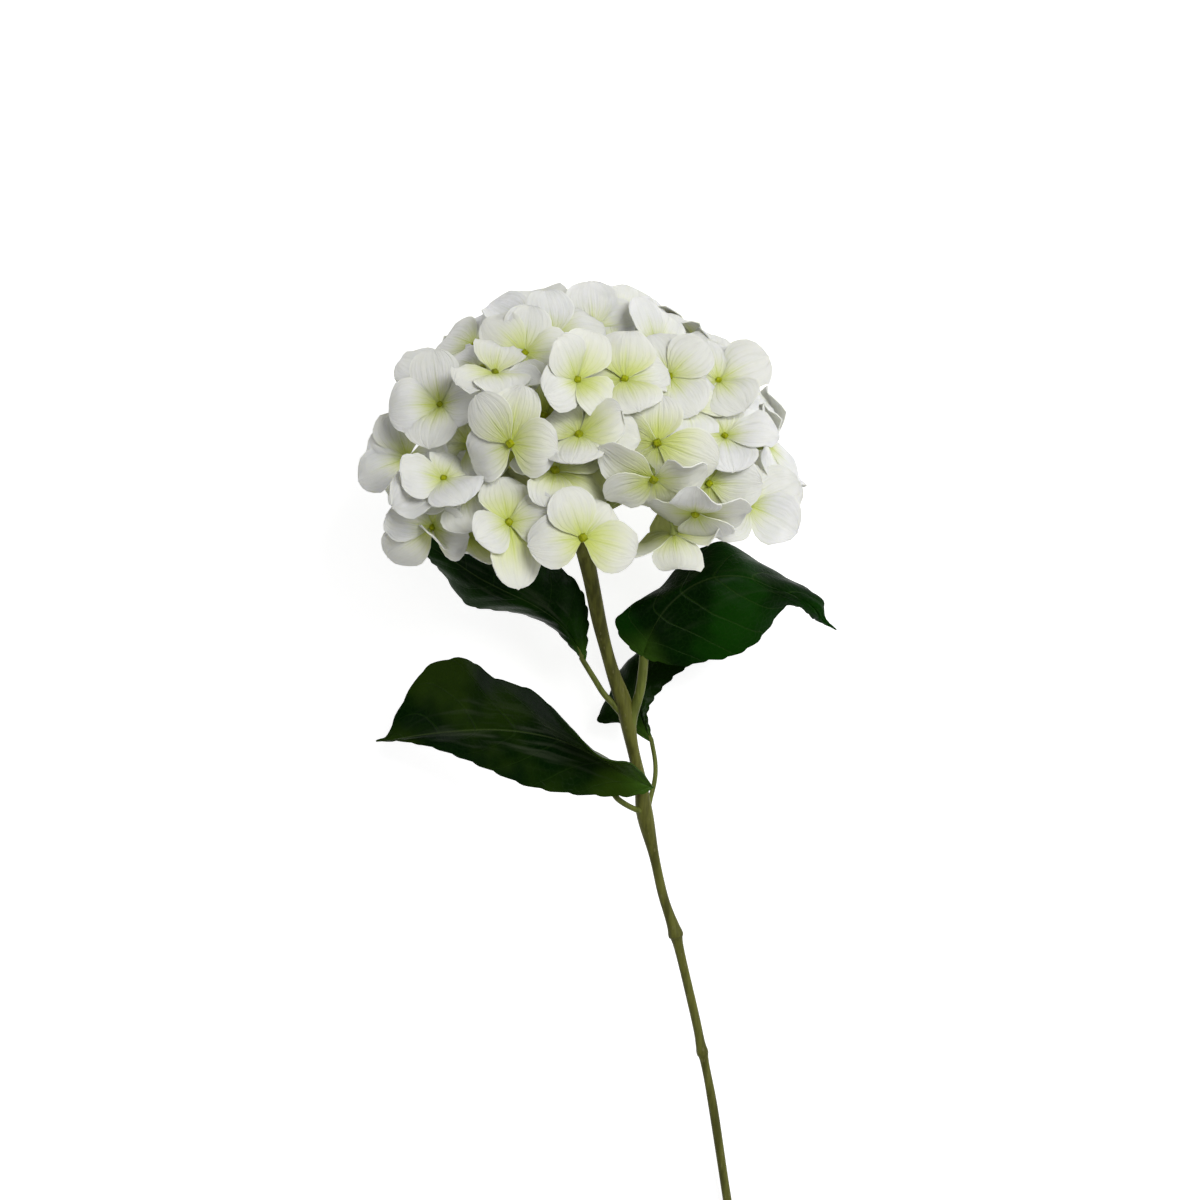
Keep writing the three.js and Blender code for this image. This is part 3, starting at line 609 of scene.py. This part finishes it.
def sepal_shape(floret, sepal):
    """How one sepal lies, bends and is toned. A posed floret gives its length and heading."""
    def draw(channel):
        return noise(floret["seed"], channel + 10 * sepal) - 0.5
    curl = SEPAL_CURL * (1 + draw(4))
    young = ease(*LIME_REACH, floret["eye"].xy.length)
    if "tips" in floret:
        tip = floret["tips"][sepal]
        length = tip.xy.length
        pitch = math.atan((tip.z + curl) / length)
        angle = math.atan2(tip.y, tip.x)
    else:
        length = SEPAL_LENGTH * (1 + LENGTH_SPREAD * draw(1))
        pitch = SEPAL_PITCH + PITCH_SPREAD * draw(3)
        angle = math.radians(floret["spin"] + 90 * sepal) + ANGLE_SPREAD * draw(6)
    return {
        "length": length,
        "half_width": SEPAL_WIDTH / 2 * (1 + WIDTH_SPREAD * draw(2)),
        "pitch": pitch,
        "curl": curl,
        "twist": TWIST_SPREAD * draw(5),
        "angle": angle,
        "cup": SEPAL_CUP * (0.35 + 2.2 * draw(7)),
        "fold": SEPAL_FOLD * draw(10),
        "ripple": SEPAL_RIPPLE * (1 + draw(8)),
        "phase": 2 * math.pi * draw(9),
        "tip_roll": TIP_ROLL * (draw(3.5) - 0.2),
        "side_roll": SIDE_ROLL * draw(5.5),
        "rolled_side": math.copysign(1, draw(7.5)),
        "tone": 0.45 * (draw(7) + 0.5) + 0.55 * young,
    }


def sepal_height(shape, along, across):
    """Height of a sepal's middle surface over its floret's plane."""
    reach = along / shape["length"]
    return (along * math.tan(shape["pitch"]) - shape["curl"] * reach ** 3
            + across * shape["twist"] * reach)


def in_head(floret, x, y, height):
    """A place in a floret's own plane and height, moved into the head."""
    place = floret["turn"] @ Vector((x, y, height)) + floret["eye"]
    sunk = LOWEST_SHEET - place.z
    if sunk > 0:
        place.x += floret["facing"].x * sunk
        place.y += floret["facing"].y * sunk
        place.z = LOWEST_SHEET
    return place


def half_gap(shapes, sepal):
    """Half the angle from a sepal to the next one counter-clockwise."""
    turn = shapes[(sepal + 1) % 4]["angle"] - shapes[sepal]["angle"]
    return (turn % (2 * math.pi)) / 2


def beside(shapes, sepal, along, across):
    """How far a place on a sepal has turned to the sepal beside it, and that one's height."""
    neighbour = (sepal + 1) % 4 if across > 0 else (sepal + 3) % 4
    half = half_gap(shapes, sepal) if across > 0 else half_gap(shapes, neighbour)
    turned = abs(math.atan2(across, along)) / half
    turn = shapes[sepal]["angle"] - shapes[neighbour]["angle"]
    other = sepal_height(shapes[neighbour], along * math.cos(turn) - across * math.sin(turn),
                         along * math.sin(turn) + across * math.cos(turn))
    return turned, other


def place_sepal(master, floret, shapes, sepal):
    """A copy of the flat sepal, bent as this one bends, set round its eye, toned, with painted
    shade.
    """
    shape = shapes[sepal]
    twin = copy_of(master)
    cosine, sine = math.cos(shape["angle"]), math.sin(shape["angle"])
    deep_shade = twin.data.attributes.new("deep_shade", "FLOAT", "POINT")
    for index, vertex in enumerate(twin.data.vertices):
        side, share = vertex.co.x, vertex.co.y
        along = share * shape["length"]
        across = side * shape["half_width"]
        turned, other = beside(shapes, sepal, along, across)
        own = sepal_height(shape, along, across)
        edge = ease(0.1, 0.8, share)
        bent = own - shape["cup"] * side * side * edge - shape["fold"] * abs(side) * edge
        bent += shape["ripple"] * side * side * math.sin(7 * share + 2 * side + shape["phase"])
        bent += shape["tip_roll"] * ease(0.5, 1.1, share)
        bent += shape["side_roll"] * ease(0.25, 1.2, side * shape["rolled_side"]) * edge
        # Towards the sepal beside it, each turns to the height halfway between the two, and the
        # higher one lies on top
        over = min(max((own - other) / PAIR_DIFFERENCE, -1), 1)
        halfway = (own + other) / 2 + PAIR_LIFT * over
        height = mix(bent, halfway, ease(0.5, 1, turned))
        height -= SEPAL_GROOVE * math.exp(-(side / 0.2) ** 2) * ease(0, 0.3, share)
        x = cosine * along - sine * across
        y = sine * along + cosine * across
        place = in_head(floret, x, y, height)
        # The deeper a place lies in the head, the more painted shade it gets
        inside = ease(*SHADE_REACH, place.xy.length)
        deep_shade.data[index].value = inside * ease(*SHADE_LEVELS, dome_level(place))
        vertex.co = place * MM
    tone = twin.data.attributes.new("tone", "FLOAT", "POINT")
    for entry in tone.data:
        entry.value = shape["tone"]
    return twin


def model_bud():
    """A small bud with four lobes and a dimple on top, sunk into the eye at the origin."""
    radius = 1.95
    dimple = 0.35
    middle = (0, 0, 0.7)
    bpy.ops.mesh.primitive_uv_sphere_add(
        segments=8, ring_count=6, radius=radius, location=middle)
    bpy.ops.object.transform_apply(location=True, rotation=True, scale=True)
    bud = start_editing("bud")
    bpy.ops.mesh.select_all(action="SELECT")
    bpy.ops.transform.resize(value=(1, 1, 0.95), center_override=middle)
    # The sides between the lobes are drawn in
    pick(lambda place: place.xy.length > 0.2 and min(abs(place.x), abs(place.y)) < 0.1)
    bpy.ops.transform.resize(value=(0.84, 0.84, 1), center_override=middle)
    pick(lambda place: place.xy.length < 0.1 and place.z > 1)
    bpy.ops.transform.translate(value=(0, 0, -dimple))
    stop_editing()
    return bud


def model_receptacle():
    """The green cup under a floret, from its stalk up to the sepals."""
    neck, mouth = 0.75, 1.9
    neck_length = 1.4
    bpy.ops.mesh.primitive_cylinder_add(
        vertices=8, radius=neck, depth=neck_length, location=(0, 0, -RECEPTACLE_DEPTH + 0.5))
    bpy.ops.object.transform_apply(location=True, rotation=True, scale=True)
    cup = start_editing("receptacle")
    top = -RECEPTACLE_DEPTH + 1.2
    pick(lambda place: place.z > top - 0.1)
    for rise, widening in ((1.2, 1.25), (1.4, 1.3), (1, mouth / neck / 1.25 / 1.3)):
        bpy.ops.mesh.extrude_region_move(TRANSFORM_OT_translate={"value": (0, 0, rise)})
        top += rise
        bpy.ops.transform.resize(value=(widening, widening, 1), center_override=(0, 0, top))
    # The foot narrows to the stalk
    pick(lambda place: place.z < -RECEPTACLE_DEPTH)
    bpy.ops.transform.resize(value=(0.8, 0.8, 1), center_override=(0, 0, -RECEPTACLE_DEPTH))
    stop_editing()
    return cup


def place_on_floret(master, floret, size):
    """A copy of a bud or receptacle on its floret, turned halfway between the sepals."""
    twin = copy_of(master)
    angle = math.radians(floret["spin"] + 45)
    cosine, sine = math.cos(angle), math.sin(angle)
    for vertex in twin.data.vertices:
        x, y, height = vertex.co * size
        vertex.co = in_head(
            floret, cosine * x - sine * y, sine * x + cosine * y, height) * MM
    return twin


def discard(piece):
    shape = piece.data
    bpy.data.objects.remove(piece)
    bpy.data.meshes.remove(shape)


def make_sepals(groups, finish):
    master = model_sepal()
    for name, florets in groups.items():
        sheets = []
        for floret in florets:
            shapes = [sepal_shape(floret, sepal) for sepal in range(4)]
            sheets += [place_sepal(master, floret, shapes, sepal) for sepal in range(4)]
        piece = join(name, sheets)
        thicken(piece, SEPAL_THICKNESS)
        finish_piece(piece, finish, ["florets"], crease=50)
    discard(master)


def make_on_florets(name, model, florets, finish, sizes):
    """One piece from the copies of a model on all florets, each in its own size."""
    master = model()
    piece = join(name, [place_on_floret(master, floret, size)
                        for floret, size in zip(florets, sizes)])
    discard(master)
    finish_piece(piece, finish, ["florets"], crease=50)


# Stem and corymb

def make_stem(finish):
    places = [Vector(row[:3]) for row in STEM]
    radii = [Vector((row[3], 0, 0)) for row in STEM]
    steps = 8 * (len(STEM) - 1)
    run = []
    for step in range(steps + 1):
        share = step / steps
        uneven = 1 + STEM_UNEVEN * (math.sin(90 * share) + math.sin(37 * share + 1))
        radius = smooth_path(radii, share).x * uneven
        run.append((smooth_path(places, share), radius))
    # The cut end is bevelled all round
    end, radius = run[-1]
    run[-1] = (end, radius * 0.86)
    before = run[-2][0]
    run.insert(-1, (end.lerp(before, 0.06), radius))
    stem = rods("stem_rod", [run], 16)
    finish_piece(stem, finish, ["stem"])


def make_corymb(rays, finish):
    ray_runs = []
    stalk_runs = []
    for tip, group in rays:
        bend = STEM_TOP.lerp(tip, 0.5)
        ray_runs.append([(place, radius) for place, radius in (
            (STEM_TOP, RAY_RADII[0]), (bend, mix(*RAY_RADII, 0.5)),
            (STEM_TOP.lerp(tip, 0.9), RAY_RADII[1] * 1.12), (tip, RAY_RADII[1] * 1.2),
            (STEM_TOP.lerp(tip, 1.03), RAY_RADII[1] * 0.7))])
        for floret in group:
            facing = floret["facing"]
            foot = -RECEPTACLE_DEPTH - GAP
            end = floret["eye"] + facing * (-RECEPTACLE_DEPTH + STALK_INSET)
            start = STEM_TOP.lerp(tip, 0.93)
            behind = floret["eye"] + facing * (foot - STALK_APPROACH)
            bend = behind.lerp(start.lerp(end, 0.6), 0.45)
            steps = 10
            run = []
            for step in range(steps + 1):
                share = step / steps
                thickening = 1 + 0.35 * ease(0.8, 1, share) + 0.4 * ease(0.2, 0, share)
                run.append((smooth_path([start, bend, end], share),
                            mix(*STALK_RADII, share) * thickening))
            stalk_runs.append(run)
    corymb = join("corymb", [rods("rays", ray_runs, 10), rods("stalks", stalk_runs, 8)])
    finish_piece(corymb, finish, ["stem"], crease=60)


# Leaves

def vein_phase(share, side):
    """Counts the side veins: whole on a vein, halves between two of them."""
    return VEIN_PAIRS * (share - VEIN_SWEEP * abs(side) ** 1.3) + 0.5


def make_leaf(name, leaf, blade_green, petiole_green):
    """A leaf from its rails: a toothed blade, and the petiole that runs on under it as midrib."""
    rails = {}
    for rail in ("left", "rib", "right"):
        rails[rail] = [Vector(place) for place in (leaf["base"], *leaf[rail], leaf["tip"])]
    rows = TEETH * TOOTH_ROWS
    columns = 2 * HALF_COLUMNS
    bpy.ops.mesh.primitive_grid_add(
        x_subdivisions=columns, y_subdivisions=rows, size=2, calc_uvs=True)
    blade = bpy.context.object
    blade.name = name
    wave_start = len(leaf["rib"]) + abs(leaf["tip"][0])
    sections = []
    for row in range(rows + 1):
        share = row / rows
        middle = smooth_path(rails["rib"], share)
        step = 0.5 / rows
        ahead = smooth_path(rails["rib"], min(share + step, 1))
        behind = smooth_path(rails["rib"], max(share - step, 0))
        left = smooth_path(rails["left"], share)
        right = smooth_path(rails["right"], share)
        normal = (right - left).cross(ahead - behind)
        sections.append((share, left, middle, right, normal))
    # The rails meet at both ends, where the next section gives the normal
    sections[0] = (*sections[0][:4], sections[1][4])
    sections[-1] = (*sections[-1][:4], sections[-2][4])
    upwards = math.copysign(1, sections[rows // 2][4].z)
    for vertex in blade.data.vertices:
        side = vertex.co.x
        row = round((vertex.co.y + 1) / 2 * rows)
        share, left, middle, right, normal = sections[row]
        normal = normal.normalized()
        margin = (left if side < 0 else right).copy()
        outward = margin - middle
        part = (row % TOOTH_ROWS) / TOOTH_ROWS
        bite = part if part < TOOTH_PEAK else (1 - part) * TOOTH_PEAK / (1 - TOOTH_PEAK)
        depth = min(TOOTH_DEPTH * TOOTH_FULLNESS * bite, 0.2 * outward.length)
        if outward.length > 0:
            margin += outward.normalized() * (depth * ease(0.6, 1, abs(side)))
        place = middle.lerp(margin, abs(side))
        arch = BLADE_ARCH * math.sin(math.pi * share) * 4 * abs(side) * (1 - abs(side))
        inside = math.sin(math.pi * share) ** 0.5
        puff = (math.sin(math.pi * vein_phase(share, side)) ** 2 - 0.5) * BLADE_PUFF
        puff *= inside * ease(0, 0.25, abs(side)) * ease(1, 0.8, abs(side))
        groove = -RIB_GROOVE * math.exp(-(side / 0.1) ** 2) * inside
        wave = (MARGIN_WAVE * math.sin(share * 17 + wave_start + 1.5 * side)
                * abs(side) ** 3 * inside)
        vertex.co = (place + normal * (arch + (puff + groove) * upwards + wave)) * MM
    thicken(blade, BLADE_THICKNESS)
    activate(blade)
    merge_and_face_out()
    blade.data.materials.append(blade_green)
    petiole = [Vector(place) for place in leaf["petiole"]]
    near, far = leaf["radii"]
    rib_run = []
    steps = 24
    for step in range(steps, -1, -1):
        share = step / steps
        rib_run.append((smooth_path(petiole, share), mix(near, far, share)
                        * (1 + 0.35 * ease(0.8, 1, share))))
    # The midrib leaves out the blade's first and last rows
    left_out = 3
    thinnest = 0.3
    for row in range(left_out, rows - left_out, 2):
        share, _, middle, _, normal = sections[row]
        radius = mix(near, thinnest, share ** 0.6)
        sunk = (radius + RIB_COVER) * ease(0, leaf["rib_sunk_by"], share)
        rib_run.append((middle - normal.normalized() * (sunk * upwards), radius))
    rib = rods(name + "_rib", [rib_run], 10)
    rib.data.materials.append(petiole_green)
    piece = join(name + "_blade", [blade, rib])
    finish_piece(piece, None, [name], crease=50)


# Finishes

class Wire:
    """An output of a finish's nodes. Sums on wires add Math nodes."""

    def __init__(self, finish, socket):
        self.finish = finish
        self.socket = socket

    def sum(self, operation, *values):
        inputs = dict(enumerate(values))
        return self.finish.node("ShaderNodeMath", {"operation": operation}, inputs)

    def __add__(self, other):
        return self.sum("ADD", self, other)

    def __radd__(self, other):
        return self.sum("ADD", other, self)

    def __sub__(self, other):
        return self.sum("SUBTRACT", self, other)

    def __rsub__(self, other):
        return self.sum("SUBTRACT", other, self)

    def __mul__(self, other):
        return self.sum("MULTIPLY", self, other)

    def __rmul__(self, other):
        return self.sum("MULTIPLY", other, self)

    def __truediv__(self, other):
        return self.sum("DIVIDE", self, other)

    def __pow__(self, other):
        return self.sum("POWER", self, other)

    def __abs__(self):
        return self.sum("ABSOLUTE", self)

    def to_whole(self):
        """How far the value is from the nearest whole number."""
        return self.sum("PINGPONG", self, 0.5)

    def between(self, low, high):
        """0 below low, 1 above high and smooth between."""
        settings = {"interpolation_type": "SMOOTHSTEP"}
        return self.finish.node("ShaderNodeMapRange", settings, {0: self, 1: low, 2: high})


class Finish:
    """A material of one piece, built on its shader."""

    def __init__(self, name, roughness, **constants):
        self.material = bpy.data.materials.new(name)
        self.material.use_nodes = True
        self.tree = self.material.node_tree
        self.shader = self.tree.nodes["Principled BSDF"]
        self.set_inputs(self.shader, {"Roughness": roughness, **constants})

    def set_inputs(self, node, inputs):
        for key, value in inputs.items():
            if isinstance(value, Wire):
                self.tree.links.new(value.socket, node.inputs[key])
            else:
                node.inputs[key].default_value = value

    def node(self, kind, settings, inputs, output=0):
        made = self.tree.nodes.new(kind)
        for key, value in settings.items():
            setattr(made, key, value)
        self.set_inputs(made, inputs)
        return Wire(self, made.outputs[output])

    def mix(self, share, first, second):
        inputs = {0: share}
        for key, value in ((6, first), (7, second)):
            inputs[key] = value if isinstance(value, Wire) else (*value, 1)
        return self.node("ShaderNodeMix", {"data_type": "RGBA"}, inputs, 2)

    def places(self, stretch=(1, 1, 1)):
        """Object coordinates, in metres, stretched along each axis."""
        flat = self.node("ShaderNodeTexCoord", {}, {}, "Object")
        return self.node("ShaderNodeMapping", {}, {"Vector": flat, "Scale": stretch})

    def speckle(self, places, scale, detail=2, roughness=0.5):
        inputs = {"Vector": places, "Scale": scale, "Detail": detail, "Roughness": roughness}
        return self.node("ShaderNodeTexNoise", {}, inputs, 0)

    def sheet_places(self):
        """Across and along, from the piece's own map."""
        pair = self.node("ShaderNodeTexCoord", {}, {}, "UV")
        split = self.tree.nodes.new("ShaderNodeSeparateXYZ")
        self.tree.links.new(pair.socket, split.inputs[0])
        return Wire(self, split.outputs[0]), Wire(self, split.outputs[1])

    def wear(self, **inputs):
        self.set_inputs(self.shader, {key.replace("_", " "): value
                                      for key, value in inputs.items()})
        return self.material

    def bump(self, height, depth):
        """A normal from a height between 0 and 1 that stands for a depth in millimetres."""
        return self.node("ShaderNodeBump", {}, {"Height": height, "Distance": depth * MM})


def sepal_finish():
    finish = Finish("sepal", 0.6, **{
        "Subsurface Weight": 0.22, "Subsurface Radius": (1, 0.95, 0.6),
        "Subsurface Scale": 0.002, "Specular IOR Level": 0.2, "Sheen Weight": 0.05})
    across, along = finish.sheet_places()
    side = abs(across * 2 - 1)
    tone = finish.node("ShaderNodeAttribute", {"attribute_name": "tone"}, {}, "Fac")
    # How much painted shade a place gets deep in the head
    deep_shade = finish.node("ShaderNodeAttribute", {"attribute_name": "deep_shade"}, {}, "Fac")
    soft = finish.speckle(finish.places(), 90, 3)
    fine = finish.speckle(finish.places(), 500, 2)
    # Wrinkles run lengthwise, and differently on each sepal
    folds = finish.node("ShaderNodeCombineXYZ", {}, {
        "X": across * 14, "Y": along * 2, "Z": tone * 60})
    wrinkles = finish.speckle(folds, 1, 2)
    # Veins fan out from the claw and fade towards the tip
    wander = (finish.speckle(finish.places(), 160, 2) - 0.5) * 0.05
    veins = 1 - ((across + wander) * 9).to_whole().between(0.03, 0.16)
    middle_vein = 1 - abs(across + wander * 0.5 - 0.5).between(0.006, 0.03)
    fade = 1 - along.between(0.2, 0.8)
    all_veins = veins * 0.5 + middle_vein
    vein_mask = all_veins.sum("MINIMUM", all_veins, 1) * fade
    # The lime flush round the eye reaches further down some sepals than down others
    reach = 0.36 + tone ** 2 * 0.46
    flush = 1 - (along + side * 0.1 + (soft - 0.5) * 0.2 - vein_mask * 0.08
                 ).between(0.02, reach + 0.1)
    white = finish.mix(soft.between(0.35, 0.7), (0.70, 0.71, 0.69), (0.80, 0.80, 0.79))
    cream = finish.mix(tone.between(0.05, 0.8), white, (0.75, 0.755, 0.68))
    colour = finish.mix(flush * (0.6 + tone * 0.35), cream, (0.64, 0.69, 0.24))
    colour = finish.mix(flush ** 3 * 0.85, colour, (0.50, 0.59, 0.06))
    colour = finish.mix(vein_mask * 0.2, colour, (0.44, 0.52, 0.16))
    # Painted shade gathers in the wrinkles, and a painted highlight lights the margin as a thin
    # bright line
    colour = finish.mix(wrinkles.between(0.52, 0.3) * 0.18, colour, (0.55, 0.55, 0.52))
    margin = side.between(0.92, 1)
    edge_highlight = margin.sum("MAXIMUM", margin, along.between(0.96, 1))
    colour = finish.mix(edge_highlight * 0.5, colour, (0.83, 0.84, 0.76))
    # Deep in the head the sepals are darkened to olive, a painted shade
    colour = finish.mix(deep_shade * 0.85, colour, (0.23, 0.26, 0.022))
    height = fine * 0.06 + wrinkles * 0.5 + soft * 0.44 - vein_mask * 0.13
    return finish.wear(Base_Color=colour, Normal=finish.bump(height, 0.9))


def bud_finish():
    finish = Finish("bud", 0.6, **{
        "Subsurface Weight": 0.1, "Subsurface Scale": 0.001, "Specular IOR Level": 0.15})
    grain = finish.speckle(finish.places(), 700, 3)
    patches = finish.speckle(finish.places(), 150, 1)
    colour = finish.mix(grain.between(0.35, 0.65), (0.26, 0.29, 0.004), (0.36, 0.40, 0.006))
    colour = finish.mix(patches.between(0.45, 0.7), colour, (0.20, 0.23, 0.004))
    return finish.wear(Base_Color=colour, Normal=finish.bump(grain, 0.1))


def stalk_finish(name, pale, dark, streak_scale):
    finish = Finish(name, 0.55, **{"Specular IOR Level": 0.15})
    streaks = finish.speckle(finish.places((1, 0.06, 1)), streak_scale, 3, 0.6)
    patches = finish.speckle(finish.places((1, 0.4, 1)), 60, 2)
    pores = finish.node("ShaderNodeTexVoronoi", {}, {
        "Vector": finish.places((1, 0.45, 1)), "Scale": 420}, "Distance")
    pore_mask = 1 - pores.between(0.12, 0.2)
    colour = finish.mix(streaks.between(0.35, 0.65), dark, pale)
    colour = finish.mix(patches.between(0.55, 0.8) * 0.5, colour, dark)
    colour = finish.mix(pore_mask * 0.5, colour, (0.17, 0.16, 0.06))
    height = streaks * 0.6 + pore_mask * 0.4
    return finish.wear(Base_Color=colour, Normal=finish.bump(height, 0.25))


def blade_finish(name, leaf):
    finish = Finish(name, 0.3, **{"Specular IOR Level": 0.04})
    across, along = finish.sheet_places()
    side = abs(across * 2 - 1)
    patches = finish.speckle(finish.places(), 28, 3)
    fine = finish.speckle(finish.places(), 900, 2)
    wander = (finish.speckle(finish.places(), 120, 2) - 0.5) * 0.12
    phase = (VEIN_PAIRS * (along - VEIN_SWEEP * side ** 1.3) + wander + 0.5).to_whole()
    thinness = 0.035 - side * 0.018
    side_veins = 1 - (phase / thinness).between(0.5, 1.4)
    midrib = 1 - side.between(0.008, 0.025)
    cells = finish.node("ShaderNodeTexVoronoi", {"feature": "DISTANCE_TO_EDGE"}, {
        "Vector": finish.places(), "Scale": 420})
    net = 1 - cells.between(0.02, 0.12)
    colour = finish.mix(patches.between(0.4, 0.62), (0.0014, 0.011, 0.0004), leaf["green"])
    colour = finish.mix(net * 0.16, colour, (0.012, 0.04, 0.004))
    colour = finish.mix(side_veins * leaf["vein_strength"], colour, (0.03, 0.07, 0.01))
    # The midrib is a paler green, and on some leaves it also carries a painted highlight along it
    colour = finish.mix(midrib * leaf["rib_highlight_strength"], colour, (0.08, 0.12, 0.035))
    # A painted sheen, greyish like a highlight, lies in streaks along the middle of the blade
    lengthwise = finish.node("ShaderNodeCombineXYZ", {}, {
        "X": across * 13, "Y": along * 4, "Z": leaf["sheen_start"]})
    sheen_streaks = finish.speckle(lengthwise, 1, 3).between(0.47, 0.68)
    sheen_streaks *= (1 - side.between(0.2, 0.8)) * along.between(0.08, 0.3)
    sheen_streaks *= 1 - along.between(0.55, 0.85)
    colour = finish.mix(sheen_streaks * leaf["sheen_strength"], colour, (0.047, 0.062, 0.034))
    # The foot of the blade is as pale as its stalk
    foot = 1 - along.between(0.02, 0.16)
    colour = finish.mix(foot * 0.7, colour, (0.045, 0.11, 0.01))
    height = (1 - net) * 0.25 + fine * 0.15 - side_veins * 0.8 - midrib * 0.6
    return finish.wear(Base_Color=colour, Normal=finish.bump(height, 0.18))


# Making

front = front_florets()
shown = front + placed_florets()
hidden = spiral_florets(shown)
florets = shown + hidden
rays = ray_tips(florets)

groups = {
    "sepals_front_left": [f for f in front if f["eye"].x < LEFT_ENDS_AT_X],
    "sepals_front_middle": [f for f in front
                            if LEFT_ENDS_AT_X <= f["eye"].x < RIGHT_STARTS_AT_X],
    "sepals_front_right": [f for f in front if f["eye"].x >= RIGHT_STARTS_AT_X],
    "sepals_rear": placed_florets() + hidden,
}
make_sepals(groups, sepal_finish())
bud_sizes = [mix(*BUD_SIZES, ease(*LIME_REACH, floret["eye"].xy.length)) for floret in florets]
make_on_florets("floret_buds", model_bud, florets, bud_finish(), bud_sizes)
stalk_green = stalk_finish("stalk", (0.30, 0.34, 0.10), (0.2, 0.24, 0.05), 500)
make_on_florets("receptacles", model_receptacle, florets, stalk_green, [1] * len(florets))
make_corymb(rays, stalk_green)
make_stem(stalk_finish("stem_skin", (0.13, 0.135, 0.025), (0.068, 0.07, 0.012), 420))
petiole_green = stalk_finish("petiole", (0.14, 0.165, 0.03), (0.08, 0.10, 0.016), 420)
for leaf_name, leaf in LEAVES.items():
    make_leaf(leaf_name, leaf, blade_finish(leaf_name + "_green", leaf), petiole_green)

# Floor, light and camera

bpy.ops.mesh.primitive_plane_add(size=6, location=(0, 0, 0))
floor = bpy.context.object
floor.name = "floor"
paper = Finish("paper", 0.9, **{
    "Specular IOR Level": 0.1, "Emission Color": (1, 1, 1, 1), "Emission Strength": 0.84})
floor.data.materials.append(paper.wear(Base_Color=(0.54, 0.54, 0.54, 1)))

scene = bpy.context.scene
scene.view_settings.view_transform = "Standard"
sky = bpy.data.worlds.new("studio")
scene.world = sky
sky.use_nodes = True
sky.node_tree.nodes["Background"].inputs["Color"].default_value = (0.96, 0.95, 1, 1)
sky.node_tree.nodes["Background"].inputs["Strength"].default_value = 0.18


LIT_PLACE = (0, -0.05, 0.05)


def add_softbox(name, place, size, power):
    bpy.ops.object.light_add(type="AREA", location=place)
    lamp = bpy.context.object
    lamp.name = name
    lamp.data.shape = "DISK"
    lamp.data.size = size
    lamp.data.energy = power
    heading = Vector(LIT_PLACE) - Vector(place)
    lamp.rotation_euler = heading.to_track_quat("-Z", "Y").to_euler()


add_softbox("key", (0.6, 0.55, 1.5), 0.8, 19)
add_softbox("fill_left", (-1.2, -0.5, 1.3), 1.2, 2)
add_softbox("fill_right", (1.2, -0.2, 1.3), 1.2, 4)

# The camera looks straight down from far off, so that 480 mm of the flower's own height fill
# the picture's side
VIEW_CENTRE = (8 * MM, -48 * MM)
VIEW_SIDE = 480 * MM
CAMERA_HEIGHT = 2.6
VIEWED_HEIGHT = 60 * MM
bpy.ops.object.camera_add(location=(*VIEW_CENTRE, CAMERA_HEIGHT), rotation=(0, 0, 0))
camera = bpy.context.object
camera.data.lens = camera.data.sensor_width * (CAMERA_HEIGHT - VIEWED_HEIGHT) / VIEW_SIDE
scene.camera = camera

bpy.ops.object.select_all(action="DESELECT")
